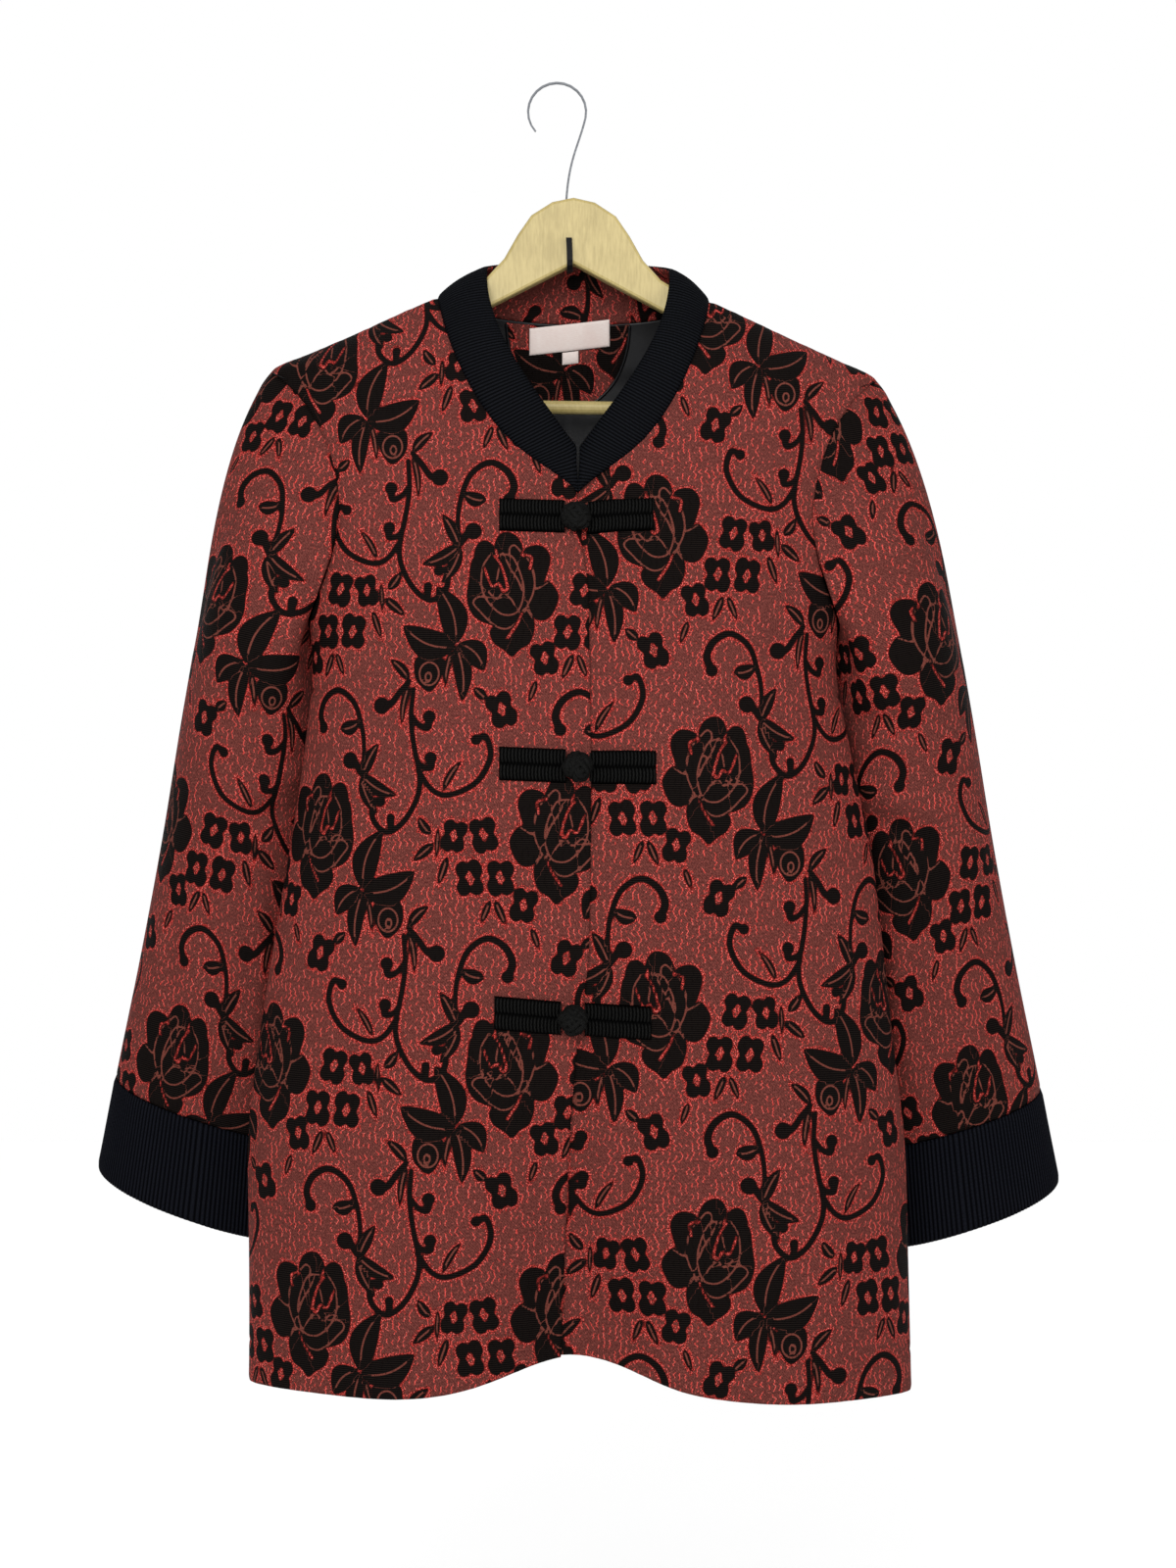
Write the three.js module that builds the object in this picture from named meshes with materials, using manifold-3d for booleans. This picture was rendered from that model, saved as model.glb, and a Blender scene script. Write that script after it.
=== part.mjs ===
// A patterned jacket with a ribbed neck band, ribbed cuffs and three frog closures, on a wooden hanger.
// Millimetres, +Z up. The garment's front faces -Y. The origin is where a rail lies in the hanger's hook.
// Right and left are the wearer's: the right front is at -X and laps over the left front.

import * as THREE from 'three';
import { mergeVertices } from 'three/addons/utils/BufferGeometryUtils.js';
import Module from 'manifold-3d';

const { Vector3 } = THREE;

// ---- driving dimensions ----

const RIGHT = -1;
const LEFT = 1;
const GARMENT_X = 11;          // the garment's middle, from the hook
const SLOPE = 0.014;           // the garment hangs this much lower towards +X
const SEAM = 0.3;              // gap between two pieces
const CLOTH = 2;               // wall of the patterned cloth with its backing
const RIBBED = 2.4;            // wall of the neck band and the cuffs
const THIN = 1;                // lining, facings and label

const NECK_TOP = -142;         // shoulder seam at the neck
const NECK_HALF = { right: 93, left: 87 };
const NECK_POINT = 0.69;       // how far the front neckline comes to a point,
const NECK_POINT_FADE = 20;    // and the turn in degrees over which that fades
const TIP = -193;              // shoulder seam at the sleeve
const ARMPIT = -385;
const ARMPIT_LEVEL = -400;     // the middle edge's height in the armpit's row
const TIP_LEVEL = { front: -302, back: -195 };  // and in the shoulder tip's row
const SIDE_HEM = -854;
const CENTRE_HEM = -831;
const HEM_PEAK_WIDTH = 60;
const BACK_HEM = -847;
const FRONT_NECK = -276;       // neckline at the centre front
const BACK_NECK = -153;
const ARMHOLE_FRONT = 0.29;    // share of the front quarter ring that the armhole takes
const ARMHOLE_BACK = 0.3;
const LAP = 26;                // width of the left front under the right one
const LAP_BLEND = 22;
const LAP_GAP = 1.4;            // between the two fronts where they lap

const BAND_HALF = 61;          // the neck band's free edge
const BAND_FRONT = -246;
const BAND_SIDE = -121.5;
const BAND_BACK = -112.5;
const BAND_FRONT_Y = -52;
const BAND_BACK_Y = 31;
const BAND_LAG = 8 * Math.PI / 180;

const BAR_LENGTH = 40;
const BAR_HEIGHT = 21;
const BAR_THICK = 3.2;
const BAR_START = 9.4;         // from the knot's middle
const BAR_SEAT = SEAM + 0.1;   // from the cloth under it
const BAR_EDGE = 0.5;          // thickness of the bar at its edges
const KNOT_RADIUS = 10;
const KNOT_FLAT = 0.72;        // the knot's depth against its width
const KNOT_SEAT = SEAM + 0.15;

const FACING_HALF = 42;         // half-oval facing under the back neck
const FACING_DROP = 54;
const FACING_X = -7;
const LABEL = { x: -6, z: -161, width: 55, height: 18, lean: 7, thick: 0.8 };
const SIZE_TAB = { x: -5.5, z: -174.5, width: 11, height: 8, lean: 7, thick: 0.6 };

const BOARD = 12;              // the hanger's board
const HUMP_SHIFT = -3;         // the board's hump, from the garment's middle
const HUMP_BOTTOM = -135;
const WIRE_RADIUS = 1.5;
const HOOK_RADIUS = 20;
const DOWEL_RADIUS = 4.5;
const DOWEL_HALF = 172;
const DOWEL_Z = -214.5;
const STEM_X = 3.5;            // where the hook's wire goes into the board
const STEM_FOOT = -92;
const STEM_BEND = -52;         // where the wire has turned straight down
const HOOK_MIDDLE = -3;        // the middle of the hook's round part

// ---- tables ----

// Body rings: half widths at the right and left side, depth of the front and back from the shoulder's
// plane, squareness of the front and back corner, and how much narrower the back is.
const BODY = [
  { z: -142, right: 93, left: 87, front: 14, back: 36, squareF: 2.0, squareB: 2.0, taper: 0 },
  { z: -155, right: 121, left: 115, front: 23, back: 40, squareF: 2.0, squareB: 2.0, taper: 0 },
  { z: -168, right: 148, left: 143, front: 31, back: 43, squareF: 2.0, squareB: 2.0, taper: 0 },
  { z: -181, right: 177, left: 172, front: 38, back: 46, squareF: 2.0, squareB: 2.0, taper: 0 },
  { z: -193, right: 203, left: 197, front: 43, back: 49, squareF: 2.05, squareB: 2.05, taper: 0 },
  { z: -215, right: 205, left: 200, front: 49, back: 53, squareF: 2.1, squareB: 2.1, taper: 0.01 },
  { z: -250, right: 199, left: 196, front: 57, back: 58, squareF: 2.2, squareB: 2.2, taper: 0.04 },
  { z: -300, right: 188, left: 184, front: 67, back: 65, squareF: 2.35, squareB: 2.3, taper: 0.1 },
  { z: -345, right: 179, left: 174, front: 78, back: 72, squareF: 2.5, squareB: 2.4, taper: 0.17 },
  { z: -385, right: 173, left: 168, front: 88, back: 78, squareF: 2.6, squareB: 2.5, taper: 0.23 },
  { z: -440, right: 177, left: 177, front: 98, back: 84, squareF: 2.7, squareB: 2.5, taper: 0.27 },
  { z: -503, right: 186, left: 190, front: 101, back: 86, squareF: 2.8, squareB: 2.5, taper: 0.28 },
  { z: -568, right: 197, left: 198, front: 100, back: 86, squareF: 2.8, squareB: 2.5, taper: 0.27 },
  { z: -633, right: 207, left: 205, front: 98, back: 85, squareF: 2.8, squareB: 2.5, taper: 0.25 },
  { z: -690, right: 214, left: 212, front: 96, back: 84, squareF: 2.8, squareB: 2.5, taper: 0.23 },
  { z: -760, right: 215, left: 215, front: 94, back: 83, squareF: 2.8, squareB: 2.5, taper: 0.21 },
  { z: -860, right: 214, left: 217, front: 92, back: 82, squareF: 2.8, squareB: 2.5, taper: 0.19 },
];
const TAPER_FROM = -50;
const TAPER_TO = 30;

// The lapping edge of the right front, seen from the front.
const OPENING = [
  { z: -276, x: -0.6 },
  { z: -300, x: 1 },
  { z: -345, x: 7 },
  { z: -568, x: 7 },
  { z: -625, x: 0 },
  { z: -690, x: -5 },
  { z: -760, x: -8 },
  { z: -840, x: -11 },
];

// Soft folds: where, how wide, how far out at the hem (in where negative), and the height they start from.
const FOLDS = [
  { panel: 'front', x: 0, spread: 48, out: -30, from: -600 },
  { panel: 'front', x: -118, spread: 46, out: 10, from: -480 },
  { panel: 'front', x: 140, spread: 44, out: 10, from: -480 },
  { panel: 'front', x: 62, spread: 24, out: 5, from: -640 },
  { panel: 'back', x: -96, spread: 34, out: 13, from: -420 },
  { panel: 'back', x: -22, spread: 36, out: -12, from: -380 },
  { panel: 'back', x: 58, spread: 32, out: 12, from: -420 },
  { panel: 'back', x: 120, spread: 24, out: -8, from: -520 },
];

// Sleeve rings from below the armpit to the end of the cuff: height of the middle, the outer side's
// distance from the garment's middle, width, depth, how far back the middle is, the ring's tilt, and how
// far its front hangs below its sides.
const SLEEVE = [
  { z: -402, out: 256, width: 98, depth: 132, y: 15, tilt: 28, drop: 0 },
  { z: -450, out: 266, width: 103, depth: 120, y: 22, tilt: 23, drop: 0 },
  { z: -520, out: 279, width: 108, depth: 106, y: 30, tilt: 20, drop: 1 },
  { z: -600, out: 295, width: 116, depth: 92, y: 36, tilt: 18, drop: 4 },
  { z: -680, out: 312, width: 130, depth: 80, y: 41, tilt: 17, drop: 8 },
  { z: -748, out: 325, width: 141, depth: 74, y: 44, tilt: 18, drop: 11 },
];
const CUFF_TOP = -684;
const CUFF_END = -748;

// Frog closures: the knot's place, and the lean of the two bars in degrees.
const FROGS = [
  { name: 'frog_1', x: -1, z: -293, rightLean: -1, leftLean: 3 },
  { name: 'frog_2', x: 0, z: -453, rightLean: -1.5, leftLean: 0 },
  { name: 'frog_3', x: -3, z: -612, rightLean: -4, leftLean: -2 },
];

// Hanger board: the upper edge from the middle out, then the arm's end and the lower edge back in.
const BOARD_EDGE = [
  { x: 0, z: -76 },
  { x: 14, z: -79 },
  { x: 28, z: -88 },
  { x: 37, z: -101 },
  { x: 46, z: -117 },
  { x: 58, z: -130 },
  { x: 74, z: -139.4 },
  { x: 91, z: -148 },
  { x: 184, z: -188.9 },
  { x: 188, z: -194 },
  { x: 187, z: -214 },
  { x: 181, z: -223 },
  { x: 172, z: -223 },
  { x: 165, z: -210 },
  { x: 150, z: -197 },
  { x: 0, z: -120 },
];
// The left arm lies this much lower, from where it goes in under the cloth.
const LEFT_ARM = { drop: 2.8, from: 58, to: 96 };

// ---- small helpers ----

const mix = (a, b, t) => a + (b - a) * t;
const clamp01 = (t) => Math.min(1, Math.max(0, t));
const ease = (t) => clamp01(t) ** 2 * (3 - 2 * clamp01(t));
const power = (value, exponent) => Math.sign(value) * Math.abs(value) ** exponent;

/** Reads one column of a table at height z with a smooth curve through its rows. */
function column(table, key, z) {
  const last = table.length - 1;
  const down = table[0].z > table[last].z ? 1 : -1;
  let row = 0;
  while (row < last - 1 && (table[row + 1].z - z) * down > 0) row += 1;
  const slopeAt = (i) => {
    const lo = table[Math.max(0, i - 1)];
    const hi = table[Math.min(last, i + 1)];
    return (hi[key] - lo[key]) / (hi.z - lo.z);
  };
  const a = table[row];
  const b = table[row + 1];
  const h = b.z - a.z;
  const t = clamp01((z - a.z) / h);
  return (2 * t ** 3 - 3 * t ** 2 + 1) * a[key] + (t ** 3 - 2 * t ** 2 + t) * h * slopeAt(row)
    + (3 * t ** 2 - 2 * t ** 3) * b[key] + (t ** 3 - t ** 2) * h * slopeAt(row + 1);
}

/** A closed wall between two grids of points; round joins the last column to the first. */
function wall(outer, inner, round = false) {
  const rows = outer.length;
  const cols = outer[0].length;
  const points = [...outer.flat(), ...inner.flat()];
  const at = (layer, row, col) => layer * rows * cols + row * cols + (col % cols);
  const index = [];
  const quad = (a, b, c, d) => index.push(a, b, c, a, c, d);
  const spans = round ? cols : cols - 1;
  for (let row = 0; row < rows - 1; row += 1) {
    for (let col = 0; col < spans; col += 1) {
      quad(at(0, row, col), at(0, row, col + 1), at(0, row + 1, col + 1), at(0, row + 1, col));
      quad(at(1, row, col), at(1, row + 1, col), at(1, row + 1, col + 1), at(1, row, col + 1));
    }
  }
  for (let col = 0; col < spans; col += 1) {
    quad(at(0, 0, col + 1), at(0, 0, col), at(1, 0, col), at(1, 0, col + 1));
    const end = rows - 1;
    quad(at(0, end, col), at(0, end, col + 1), at(1, end, col + 1), at(1, end, col));
  }
  if (!round) {
    for (let row = 0; row < rows - 1; row += 1) {
      const end = cols - 1;
      quad(at(0, row, 0), at(0, row + 1, 0), at(1, row + 1, 0), at(1, row, 0));
      quad(at(0, row + 1, end), at(0, row, end), at(1, row, end), at(1, row + 1, end));
    }
  }
  return solid(points, index);
}

/** Makes the geometry and turns its faces outward. */
function solid(points, index) {
  let volume = 0;
  for (let i = 0; i < index.length; i += 3) {
    const [a, b, c] = [points[index[i]], points[index[i + 1]], points[index[i + 2]]];
    volume += a.dot(b.clone().cross(c));
  }
  if (volume < 0) {
    for (let i = 0; i < index.length; i += 3) [index[i], index[i + 1]] = [index[i + 1], index[i]];
  }
  const geometry = new THREE.BufferGeometry().setFromPoints(points);
  geometry.setIndex(index);
  return geometry;
}

/** Puts a garment point in the part's frame. */
const placed = (p) => new Vector3(p.x + GARMENT_X, p.y, p.z - SLOPE * p.x);
const placedGrid = (grid) => grid.map((row) => row.map(placed));

// ---- the body's surface ----

const RING_STEPS = 48;
const ringCache = new Map();

/** Half a body ring at height z, as two runs of points: the front quarter and the back quarter. */
function halfRing(side, z) {
  const key = `${side}:${z.toFixed(4)}`;
  if (ringCache.has(key)) return ringCache.get(key);
  const half = column(BODY, side === RIGHT ? 'right' : 'left', z);
  const front = column(BODY, 'front', z);
  const back = column(BODY, 'back', z);
  const taper = column(BODY, 'taper', z);
  const quarter = (depth, square, from) => {
    const run = [];
    for (let i = 0; i <= RING_STEPS; i += 1) {
      const angle = from + (i / RING_STEPS) * Math.PI / 2;
      const y = -depth * power(Math.cos(angle), 2 / square);
      const narrow = 1 - taper * ease((y - TAPER_FROM) / (TAPER_TO - TAPER_FROM));
      run.push({ x: half * power(Math.sin(angle), 2 / square) * narrow, y });
    }
    return run;
  };
  const runs = [quarter(front, column(BODY, 'squareF', z), 0),
    quarter(back, column(BODY, 'squareB', z), Math.PI / 2)];
  const widest = Math.max(...runs.flat().map((p) => p.x));
  const ring = runs.map((run) => {
    const scaled = run.map((p) => ({ x: p.x * half / widest, y: p.y }));
    const reach = [0];
    for (let i = 1; i < scaled.length; i += 1) {
      reach.push(reach[i - 1] + Math.hypot(scaled[i].x - scaled[i - 1].x, scaled[i].y - scaled[i - 1].y));
    }
    return { points: scaled, reach, length: reach[reach.length - 1] };
  });
  ringCache.set(key, ring);
  return ring;
}

function foldDepth(panel, x, z) {
  return FOLDS.filter((fold) => fold.panel === panel).reduce((sum, fold) => {
    const grow = ease((fold.from - z) / (fold.from - SIDE_HEM));
    return sum + fold.out * grow * Math.exp(-(((x - fold.x) / fold.spread) ** 2));
  }, 0);
}

/** A point of the cloth: s is 0 at the centre front, 1 at the side or shoulder, 2 at the centre back. */
function bodyPoint(side, s, z) {
  if (s < 0) return bodyPoint(-side, -s, z);
  if (s > 2) return bodyPoint(-side, 4 - s, z);
  const run = halfRing(side, z)[s < 1 ? 0 : 1];
  const reach = (s < 1 ? s : s - 1) * run.length;
  let i = 1;
  while (i < run.reach.length - 1 && run.reach[i] < reach) i += 1;
  const t = (reach - run.reach[i - 1]) / (run.reach[i] - run.reach[i - 1]);
  const x = side * mix(run.points[i - 1].x, run.points[i].x, t);
  const y = mix(run.points[i - 1].y, run.points[i].y, t);
  const depth = column(BODY, y < 0 ? 'front' : 'back', z);
  const weight = ease(Math.abs(y) / depth);
  const shift = foldDepth(y < 0 ? 'front' : 'back', x, z) * weight;
  return new Vector3(x, y + Math.sign(y) * shift, z);
}

/** The cloth's outward direction. */
function bodyNormal(side, s, z) {
  const ds = 0.012;
  const dz = 1.5;
  const across = bodyPoint(side, s + ds, z).sub(bodyPoint(side, s - ds, z));
  const up = bodyPoint(side, s, Math.min(z + dz, NECK_TOP)).sub(bodyPoint(side, s, z - dz));
  return across.cross(up).multiplyScalar(side).normalize();
}

/** The s at which the front or back quarter ring is x from the middle. */
function shareAt(side, x, z, back = false) {
  let lo = 0;
  let hi = 1;
  for (let i = 0; i < 24; i += 1) {
    const mid = (lo + hi) / 2;
    const p = bodyPoint(side, back ? 2 - mid : mid, z);
    if (Math.abs(p.x) < x) lo = mid;
    else hi = mid;
  }
  return lo;
}

// ---- panel outlines, in s and z ----

const SIDE_ROWS = 10;
const ARMHOLE_ROWS = 11;
const SHOULDER_ROWS = 5;
const ROWS = SIDE_ROWS + ARMHOLE_ROWS + SHOULDER_ROWS;
const FRONT_COLS = 13;
const LAP_COLS = 2;
const BACK_COLS = 10;

/** How far across a panel a column lies, t from the middle to the side; columns are closer at the ends. */
function columnShare(t, back) {
  return back ? 1 - (1 - t) ** 1.5 : t - 0.6 * Math.sin(2 * Math.PI * t) / (2 * Math.PI);
}

/** The armhole's outline, t from the armpit to the shoulder's tip. */
function armhole(t, share) {
  return { cut: share * Math.sin(Math.PI * t) ** 1.25, z: mix(ARMPIT, TIP, (1 - Math.cos(Math.PI * t)) / 2) };
}

/** The side of a panel at a row: side seam, armhole, shoulder seam. */
function sideEdge(row, share) {
  if (row <= SIDE_ROWS) return { cut: 0, z: mix(SIDE_HEM, ARMPIT, row / SIDE_ROWS) };
  if (row <= SIDE_ROWS + ARMHOLE_ROWS) return armhole((row - SIDE_ROWS) / ARMHOLE_ROWS, share);
  return { cut: 0, z: mix(TIP, NECK_TOP, (row - SIDE_ROWS - ARMHOLE_ROWS) / SHOULDER_ROWS) };
}

/** The height of a panel's middle edge at a row. */
function middleHeight(row, hem, tipLevel, neck) {
  if (row <= SIDE_ROWS) return mix(hem, ARMPIT_LEVEL, row / SIDE_ROWS);
  if (row <= SIDE_ROWS + ARMHOLE_ROWS) return mix(ARMPIT_LEVEL, tipLevel, (row - SIDE_ROWS) / ARMHOLE_ROWS);
  return mix(tipLevel, neck, (row - SIDE_ROWS - ARMHOLE_ROWS) / SHOULDER_ROWS);
}

/** The neckline from the middle (turn 0) to the shoulder (turn 1); the front one comes to a point. */
function neckline(side, turn, back) {
  const angle = turn * Math.PI / 2;
  const low = back ? BACK_NECK : FRONT_NECK;
  const fade = Math.exp(-angle / THREE.MathUtils.degToRad(NECK_POINT_FADE));
  const raised = back ? 0 : NECK_POINT * Math.sin(angle) * Math.cos(angle) * fade;
  return {
    x: NECK_HALF[side === RIGHT ? 'right' : 'left'] * Math.sin(angle),
    z: NECK_TOP + (low - NECK_TOP) * (power(Math.cos(angle), 1.6) - raised),
  };
}

/** One point of a panel in s and z: u from the middle edge to the side, row from hem to neck. */
function panelPlace(side, u, row, back, middleX) {
  const edge = sideEdge(row, back ? ARMHOLE_BACK : ARMHOLE_FRONT);
  const quarter = (z) => halfRing(side, z)[back ? 1 : 0].length;
  const gap = (SEAM / 2) / quarter(edge.z);
  const middleZ = back ? middleHeight(row, BACK_HEM, TIP_LEVEL.back, BACK_NECK)
    : middleHeight(row, CENTRE_HEM, TIP_LEVEL.front, FRONT_NECK);
  const middle = middleX(middleZ) * side / quarter(middleZ);
  let s = mix(middle, 1 - edge.cut - gap, u);
  let z = mix(middleZ, edge.z, u);
  if (!back && row < SIDE_ROWS) {
    const x = bodyPoint(side, s, z).x;
    const hemZ = mix(SIDE_HEM, CENTRE_HEM, Math.exp(-((x / HEM_PEAK_WIDTH) ** 2)));
    z += (hemZ - mix(CENTRE_HEM, SIDE_HEM, u)) * (1 - row / SIDE_ROWS) ** 2;
  }
  if (row > SIDE_ROWS) {
    const rise = ((row - SIDE_ROWS) / (ROWS - SIDE_ROWS)) ** 3;
    const top = neckline(side, u, back);
    const reach = u >= 1 ? 1 - gap : shareAt(side, top.x, top.z, back);
    s += ((u <= 0 ? middle : reach) - mix(middle, 1 - gap, u)) * rise;
    z += (top.z - mix(back ? BACK_NECK : FRONT_NECK, NECK_TOP, u)) * rise;
  }
  return { s, z };
}

const panels = {};

/** A node of a grid: its outer point and the outward direction there. */
function clothNode(side, s, z) {
  return { point: bodyPoint(side, s, z), out: bodyNormal(side, s, z) };
}

/** A panel's grid, a row for each height and a column for each step from the middle to the side. */
function panelGrid(side, back, cols, middleX) {
  return Array.from({ length: ROWS + 1 }, (_, row) => Array.from({ length: cols + 1 }, (__, col) => {
    const { s, z } = panelPlace(side, columnShare(col / cols, back), row, back, middleX);
    return clothNode(side, back ? 2 - s : s, z);
  }));
}

/** The strip of the left front that lies under the right one, up to the centre. */
function lapGrid() {
  return Array.from({ length: ROWS + 1 }, (_, row) => Array.from({ length: LAP_COLS }, (__, col) => {
    const { z } = panelPlace(LEFT, 0, row, false, () => 0);
    const x = (openingX(z) - LAP) * (1 - col / LAP_COLS);
    return clothNode(LEFT, x / halfRing(LEFT, z)[0].length, z);
  }));
}

const moved = (grid, distance) => grid.map((row) => row.map(({ point, out }) => (
  point.clone().addScaledVector(out, typeof distance === 'function' ? distance(point) : distance))));

function wallOf(grid, outerShift, thickness) {
  const shift = typeof outerShift === 'function' ? outerShift : () => outerShift;
  return wall(placedGrid(moved(grid, shift)), placedGrid(moved(grid, (p) => shift(p) - thickness)));
}

const openingX = (z) => column(OPENING, 'x', z);
const atCentre = () => 0;
const lap = lapGrid();

panels.rightFront = panelGrid(RIGHT, false, FRONT_COLS, openingX);
panels.leftFront = panelGrid(LEFT, false, FRONT_COLS, atCentre).map((row, i) => [...lap[i], ...row]);
panels.backHalves = [RIGHT, LEFT].map((side) => panelGrid(side, true, BACK_COLS, atCentre));
panels.back = panels.backHalves[0].map((row, i) => (
  [...[...row].reverse(), ...panels.backHalves[1][i].slice(1)]));

/** The left front lies under the right one near the opening. */
function underlap(point) {
  const edge = openingX(point.z);
  return -(CLOTH + LAP_GAP) * (1 - ease((point.x - edge - 4) / LAP_BLEND));
}

// ---- sleeves and cuffs ----

const SLEEVE_ROWS = 6;
const CAP_ROWS = 7;
const AROUND = 2 * ARMHOLE_ROWS;
// How the cap leaves the armhole, outward and downward, in the armpit and at the shoulder's tip.
const CAP_OUT = { armpit: 0.4, tip: 0.6, depthwise: 0.003 };
const CAP_DOWN = { armpit: 0.75, tip: 0.8 };
const CAP_FULLNESS = 0.9;
const CAP_SEAM = 3;             // the cap starts this many seam gaps out
const RING_SQUARENESS = 0.9;   // exponent of the sleeve's rings; 1 is an ellipse
const CUFF_PROUD = 0.4;        // the cuff stands out from the sleeve's line

/** The armhole loop from the shoulder's tip forwards, down to the armpit and up the back. */
function armholeLoop(side) {
  const loop = [];
  for (let i = 0; i < AROUND; i += 1) {
    const turn = i / ARMHOLE_ROWS;
    const back = turn > 1;
    const { cut, z } = armhole(back ? turn - 1 : 1 - turn, back ? ARMHOLE_BACK : ARMHOLE_FRONT);
    const s = back ? 1 + cut : 1 - cut;
    loop.push(bodyPoint(side, s, z));
  }
  return loop;
}

/** A point of the sleeve's ring at height z; turn runs 0 to 2 from the outer side forwards and round. */
function sleevePoint(side, turn, z) {
  const half = column(SLEEVE, 'width', z) / 2;
  const tilt = THREE.MathUtils.degToRad(column(SLEEVE, 'tilt', z));
  const angle = turn * Math.PI;
  const along = half * power(Math.cos(angle), RING_SQUARENESS);
  const x = column(SLEEVE, 'out', z) - half * Math.cos(tilt) + along * Math.cos(tilt);
  const y = column(SLEEVE, 'y', z) - column(SLEEVE, 'depth', z) / 2 * power(Math.sin(angle), RING_SQUARENESS);
  const drop = column(SLEEVE, 'drop', z) * power(Math.sin(angle), RING_SQUARENESS);
  return new Vector3(side * x, y, z + along * Math.sin(tilt) - drop);
}

/** The cap runs from the armhole out over the shoulder and down into the first ring. */
function capPoint(side, loop, i, t) {
  const from = loop[i];
  const turn = i / ARMHOLE_ROWS;
  const to = sleevePoint(side, turn, SLEEVE[0].z);
  const reach = from.distanceTo(to);
  const high = (Math.cos(turn * Math.PI) + 1) / 2;
  const outward = new Vector3(
    side * mix(CAP_OUT.armpit, CAP_OUT.tip, high),
    from.y * CAP_OUT.depthwise,
    -mix(CAP_DOWN.armpit, CAP_DOWN.tip, high),
  ).normalize();
  const down = sleevePoint(side, turn, SLEEVE[0].z - 4).sub(to).normalize();
  const start = from.clone().addScaledVector(outward, SEAM * CAP_SEAM);
  const stretch = reach * CAP_FULLNESS;
  const point = start.multiplyScalar(2 * t ** 3 - 3 * t ** 2 + 1);
  point.addScaledVector(outward, (t ** 3 - 2 * t ** 2 + t) * stretch);
  point.addScaledVector(to, 3 * t ** 2 - 2 * t ** 3);
  point.addScaledVector(down, (t ** 3 - t ** 2) * stretch);
  return point;
}

/** Outward directions of a round grid, from its neighbours. */
function roundNormals(rows, side) {
  const count = rows[0].length;
  return rows.map((row, r) => row.map((point, i) => {
    const across = row[(i + 1) % count].clone().sub(row[(i + count - 1) % count]);
    const below = rows[Math.min(r + 1, rows.length - 1)][i];
    const above = rows[Math.max(r - 1, 0)][i];
    return { point, out: across.cross(above.clone().sub(below)).multiplyScalar(side * -1).normalize() };
  }));
}

function sleeveGrid(side) {
  const loop = armholeLoop(side);
  const rows = [];
  for (let row = 0; row < CAP_ROWS; row += 1) {
    rows.push(loop.map((_, i) => capPoint(side, loop, i, row / CAP_ROWS)));
  }
  for (let row = 0; row <= SLEEVE_ROWS; row += 1) {
    const z = mix(SLEEVE[0].z, CUFF_TOP, row / SLEEVE_ROWS);
    rows.push(loop.map((_, i) => sleevePoint(side, i / ARMHOLE_ROWS, z)));
  }
  return roundNormals(rows, side);
}

function cuffGrid(side) {
  const rows = [];
  for (const share of [0, 0.5, 1]) {
    const z = mix(CUFF_TOP - SEAM, CUFF_END, share);
    rows.push(Array.from({ length: AROUND }, (_, i) => sleevePoint(side, i / ARMHOLE_ROWS, z)));
  }
  return roundNormals(rows, side);
}

// ---- neck band and the pieces inside the neck ----

const BAND_ACROSS = 3;

/** The band's free edge; angle 0 at the centre front, a half turn at the centre back. */
function bandFreeEdge(side, angle) {
  const lagged = angle < Math.PI / 2 ? angle - BAND_LAG * Math.sin(2 * angle) : angle;
  const x = side * BAND_HALF * Math.sin(lagged);
  if (angle < Math.PI / 2) {
    const y = BAND_FRONT_Y * power(Math.cos(lagged), 0.7);
    return new Vector3(x, y, mix(BAND_FRONT, BAND_SIDE, lagged / (Math.PI / 2)));
  }
  const backward = -Math.cos(angle);
  return new Vector3(x, BAND_BACK_Y * power(backward, 1.2), mix(BAND_SIDE, BAND_BACK, backward));
}

/** One station across the band, from the sewn edge to the free edge. */
function bandStation(side, angle, sewn, sewnOut) {
  const free = bandFreeEdge(side, angle);
  const seam = sewn.clone();
  const across = free.clone().sub(seam).normalize();
  seam.addScaledVector(across, SEAM * 1.4);
  return Array.from({ length: BAND_ACROSS + 1 }, (_, i) => {
    const t = i / BAND_ACROSS;
    return seam.clone().lerp(free, t).addScaledVector(sewnOut, 2.2 * Math.sin(Math.PI * t));
  });
}

function bandGrid() {
  const stations = [];
  const add = (side, back, cols) => {
    const run = [];
    for (let col = 0; col <= cols; col += 1) {
      const turn = columnShare(col / cols, back);
      const angle = back ? Math.PI - turn * Math.PI / 2 : turn * Math.PI / 2;
      const top = neckline(side, turn, back);
      const reach = turn === 1 ? 1 : shareAt(side, top.x, top.z, back);
      const { point, out } = clothNode(side, back ? 2 - reach : reach, top.z);
      run.push(bandStation(side, angle, point, out));
    }
    return run;
  };
  stations.push(...add(RIGHT, false, FRONT_COLS));
  stations.push(...add(RIGHT, true, BACK_COLS).reverse().slice(1));
  stations.push(...add(LEFT, true, BACK_COLS).slice(1));
  stations.push(...add(LEFT, false, FRONT_COLS).reverse().slice(1));
  stations[0] = stations[0].map((p) => p.clone().setX(-SEAM));
  stations[stations.length - 1] = stations[stations.length - 1].map((p) => p.clone().setX(SEAM));
  return stations.map((line, i) => line.map((point, j) => {
    const next = stations[Math.min(i + 1, stations.length - 1)][j];
    const prev = stations[Math.max(i - 1, 0)][j];
    const inward = line[Math.min(j + 1, BAND_ACROSS)].clone().sub(line[Math.max(j - 1, 0)]);
    return { point, out: inward.cross(next.clone().sub(prev)).normalize() };
  }));
}

const band = bandGrid();

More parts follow.
